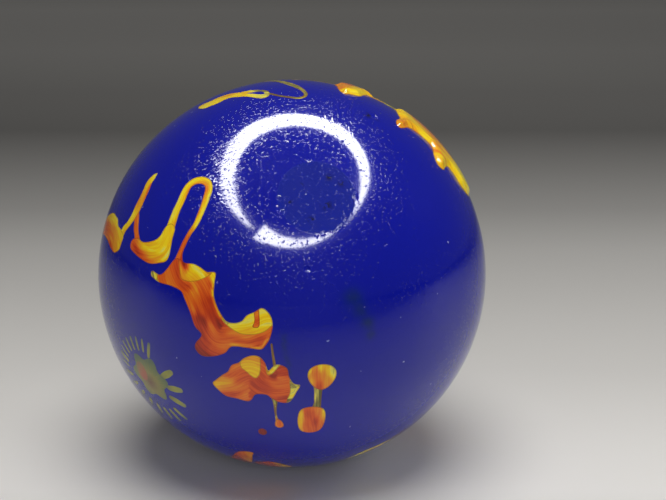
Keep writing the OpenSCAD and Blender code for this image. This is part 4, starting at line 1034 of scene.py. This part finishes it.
def cane(name, stops):
    """Flower cane: colour by the distance from the flower's middle, with thin streaks."""
    m = Nodes(name, 0.13)
    streak = m.noise(m.read("flow", "Vector"), 1.0, 3.0, (3.0, 0.8, 1.0))
    reach = m.maths("DIVIDE", m.read("reach"), 6.0)
    reach = m.maths("MULTIPLY_ADD", m.maths("SUBTRACT", streak, 0.5), 0.28, reach)
    m.send(m.ramp(reach, stops), "Base Color")
    return m.material


def cobalt(name):
    """Deep blue glass with fine wear, specks, a ground flat and thin green smears."""
    m = Nodes(name, 0.07)
    place = m.place()
    blue = m.mix(m.noise(place, 90.0), linear((8, 17, 140)), linear((13, 22, 151)))
    green = m.maths("MULTIPLY", m.read("smudge"), m.maths("MULTIPLY", m.noise(place, 700.0, 3.0), 1.2))
    blue = m.mix(green, blue, linear((20, 44, 60)))
    ground = m.read("ground")
    blue = m.mix(m.maths("MULTIPLY", ground, 0.5), blue, linear((16, 36, 126)))
    patchy = m.maths("GREATER_THAN", m.noise(place, 1500.0, 4.0), 0.52)
    dirt = m.maths("MULTIPLY", m.read("dirt"), m.maths("MULTIPLY", patchy, 0.95))
    blue = m.mix(dirt, blue, linear((14, 12, 22)))
    speck = m.maths("GREATER_THAN", m.noise(place, 1300.0, 2.0), 0.765)
    blue = m.mix(m.maths("MULTIPLY", speck, 0.75), blue, linear((150, 156, 200)))
    m.send(blue, "Base Color")
    rough = m.maths("MULTIPLY_ADD", ground, 0.05, 0.05)
    rough = m.maths("MULTIPLY_ADD", m.noise(place, 260.0, 4.0), 0.08, rough)
    m.send(rough, "Roughness")
    hair = m.sparse(m.noise(place, 3800.0, 3.0), 0.60, 2.4)
    across = m.sparse(m.noise(place, 1.0, 1.0, (3000.0, 700.0, 700.0)), 0.50, 2.6)
    along = m.sparse(m.noise(place, 1.0, 1.0, (700.0, 4200.0, 4200.0)), 0.50, 2.6)
    wear = m.maths("MULTIPLY_ADD", across, m.read("frayed"), hair)
    wear = m.maths("MULTIPLY_ADD", along, m.read("scratched"), wear)
    grit = m.maths("MULTIPLY", m.noise(place, 2600.0, 3.0), m.maths("MULTIPLY", ground, 0.12))
    skin = m.maths("MULTIPLY_ADD", m.noise(place, 620.0, 2.0), 0.08, grit)
    m.bump(m.maths("ADD", wear, skin), 0.00004)
    return m.material


LOOKS = {slot: streaky(slot) for slot in ("yellow_glass", "orange_glass", "red_glass", "olive_glass")}
LOOKS["cobalt_glass"] = cobalt("cobalt_glass")
PETALS_LOOK = cane("cane_petals", run_of((0, (110, 70, 44)), (0.22, (136, 128, 62)),
                                         (0.36, (112, 120, 66)), (0.5, (84, 104, 74))))
HEART_LOOK = cane("cane_heart", run_of((0, (152, 92, 62)), (0.2, (170, 92, 62)),
                                       (0.32, (150, 110, 66)), (0.5, (110, 100, 64))))
RAYS_LOOK = cane("cane_rays", run_of((0.45, (120, 118, 62)), (0.62, (150, 150, 62)),
                                     (0.78, (132, 136, 84)), (0.95, (84, 98, 90))))

SLOTS = {
    "yellow_glass": ("left_blob_cap", "left_thread", "trough", "arch", "tall_crest", "tall_toe",
                     "centre_crest", "centre_notch", "centre_spot", "upper_drop", "crown_trail",
                     "crown_flake", "shoulder_trail", "front_flower_rays", "side_flower_rays",
                     "rear_flower_rays", "rear_flake_crest", "rear_wave", "under_trail"),
    "orange_glass": ("left_blob", "left_leg", "tall_flake", "centre_flake", "upper_drop_heart",
                     "lower_drop", "crown_flake_head", "shoulder_knob", "foot_flake", "rear_flake",
                     "rear_hook", "under_flake"),
    "red_glass": ("trough_rim", "tall_fold", "tall_heel", "red_dot", "foot_lip",
                  "front_flower_heart", "side_flower_heart", "rear_flower_heart"),
    "olive_glass": ("tall_tail", "centre_tip", "centre_drip", "centre_thread", "drop_stem",
                    "crown_loop", "ridge_thread", "crown_threads", "shoulder_tail", "foot_trail",
                    "front_flower_petals", "side_flower_petals", "rear_flower_petals"),
}


def dress(obj, node, slot):
    look = LOOKS[slot]
    if node.endswith("_petals"):
        look = PETALS_LOOK
    elif node.endswith("flower_heart"):
        look = HEART_LOOK
    elif node.endswith("flower_rays"):
        look = RAYS_LOOK
    obj.data.materials.clear()
    obj.data.materials.append(look)
    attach(obj, "root")
    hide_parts(node)


dress(ball, "ball", "cobalt_glass")
for slot, nodes in SLOTS.items():
    for node in nodes:
        dress(made[node]["obj"], node, slot)


# ------------------------------------------------------------- floor, light, camera
def plain(name, points, faces):
    obj = new_object(name, points, faces)
    return obj


floor = plain("floor", [(-1500, -700, -R), (1500, -700, -R), (1500, 1500, -R), (-1500, 1500, -R)],
              [[0, 1, 2, 3]])
PAPER_START = 0.1
# The floor's base colour holds painted light and shade along Y, not an even paper tone.
m = Nodes("paper_painted_light_and_shade", 0.85)
m.shader.inputs["Specular IOR Level"].default_value = 0.1
run = m.add("ShaderNodeSeparateXYZ", inputs={"Vector": m.place()}).outputs["Y"]
run = m.maths("ADD", run, PAPER_START)
# Painted light and shade in the paper's colour, by place along Y in metres + PAPER_START: a painted dark
# well in front, a painted pool of light under the ball, painted shade falling off behind it and painted
# light rising again far back, as the photo's backdrop does.
PAPER_LIGHT_AND_SHADE = [(0.0, 0.12), (0.06, 0.55), (0.09, 0.74), (0.10, 0.71), (0.128, 0.58), (0.17, 0.48),
         (0.195, 0.43), (0.23, 0.32), (0.275, 0.25), (0.335, 0.17), (0.42, 0.27), (0.56, 0.50),
         (0.82, 0.78)]
# The base colour carries the painted light and shade from the table above.
m.send(m.ramp(run, [(at, (v, v * 0.97, v * 0.92, 1)) for at, v in PAPER_LIGHT_AND_SHADE]), "Base Color")
floor.data.materials.append(m.material)

# The ring lamp over the ball: (angle, width as a part of its radius), open at the front left
LAMP_STRENGTH = 26
LAMP_MIDDLE = (5, -77, 110)
LAMP_REACH = (79, 109)
LAMP_WIDTHS = [(218, 0.52), (240, 0.42), (265, 0.32), (305, 0.17), (335, 0.05), (360, 0.08),
               (385, 0.16), (410, 0.17), (450, 0.21), (500, 0.24), (535, 0.20), (560, 0.10),
               (574, 0.01)]

turns = np.arange(LAMP_WIDTHS[0][0], LAMP_WIDTHS[-1][0], 2)
widths = np.interp(turns, *zip(*LAMP_WIDTHS))
points = []
for turn, wide in zip(np.radians(turns), widths):
    for r in (1 - wide / 2, 1 + wide / 2):
        points.append((LAMP_MIDDLE[0] + LAMP_REACH[0] * r * math.cos(turn),
                       LAMP_MIDDLE[1] + LAMP_REACH[1] * r * math.sin(turn), LAMP_MIDDLE[2]))
lamp = plain("ring_lamp", points, [[2 * i, 2 * i + 1, 2 * i + 3, 2 * i + 2] for i in range(len(turns) - 1)])
glow = bpy.data.materials.new("lamp_glow")
glow.use_nodes = True
glow.node_tree.nodes.clear()
shine = glow.node_tree.nodes.new("ShaderNodeEmission")
shine.inputs["Strength"].default_value = LAMP_STRENGTH
sheet = glow.node_tree.nodes.new("ShaderNodeOutputMaterial")
glow.node_tree.links.new(shine.outputs[0], sheet.inputs[0])
lamp.data.materials.append(glow)
lamp.visible_camera = False
lamp.visible_diffuse = False
lamp.visible_shadow = False


def soft_light(name, place, size, power):
    light = bpy.data.lights.new(name, "AREA")
    light.shape = "DISK"
    light.size = size * MM
    light.energy = power
    obj = bpy.data.objects.new(name, light)
    obj.location = Vector(place) * MM
    obj.rotation_euler = (-Vector(place)).to_track_quat("-Z", "Y").to_euler()
    obj.visible_glossy = False
    bpy.context.scene.collection.objects.link(obj)


soft_light("key", (10, -60, 300), 240, 0.84)
soft_light("fill", (40, -420, 60), 320, 0.84)
soft_light("side", (300, 60, 200), 200, 0.2)

world = bpy.data.worlds.new("room")
bpy.context.scene.world = world
world.use_nodes = True
world.node_tree.nodes["Background"].inputs["Color"].default_value = (0.09, 0.09, 0.09, 1)

CAMERA_LENS = 72.6
CAMERA_FAR = 147 * MM
CAMERA_TILT = math.radians(15)
camera_data = bpy.data.cameras.new("camera")
camera_data.lens = CAMERA_LENS
camera_data.sensor_width = 36
camera_data.shift_x = 0.0616
camera_data.shift_y = 0.0353
camera_data.clip_start = 0.01
camera_data.dof.use_dof = False
camera = bpy.data.objects.new("camera", camera_data)
camera.location = (0, -CAMERA_FAR * math.cos(CAMERA_TILT), CAMERA_FAR * math.sin(CAMERA_TILT))
camera.rotation_euler = (math.pi / 2 - CAMERA_TILT, 0, 0)
bpy.context.scene.collection.objects.link(camera)
bpy.context.scene.camera = camera
bpy.context.scene.view_settings.view_transform = "Standard"
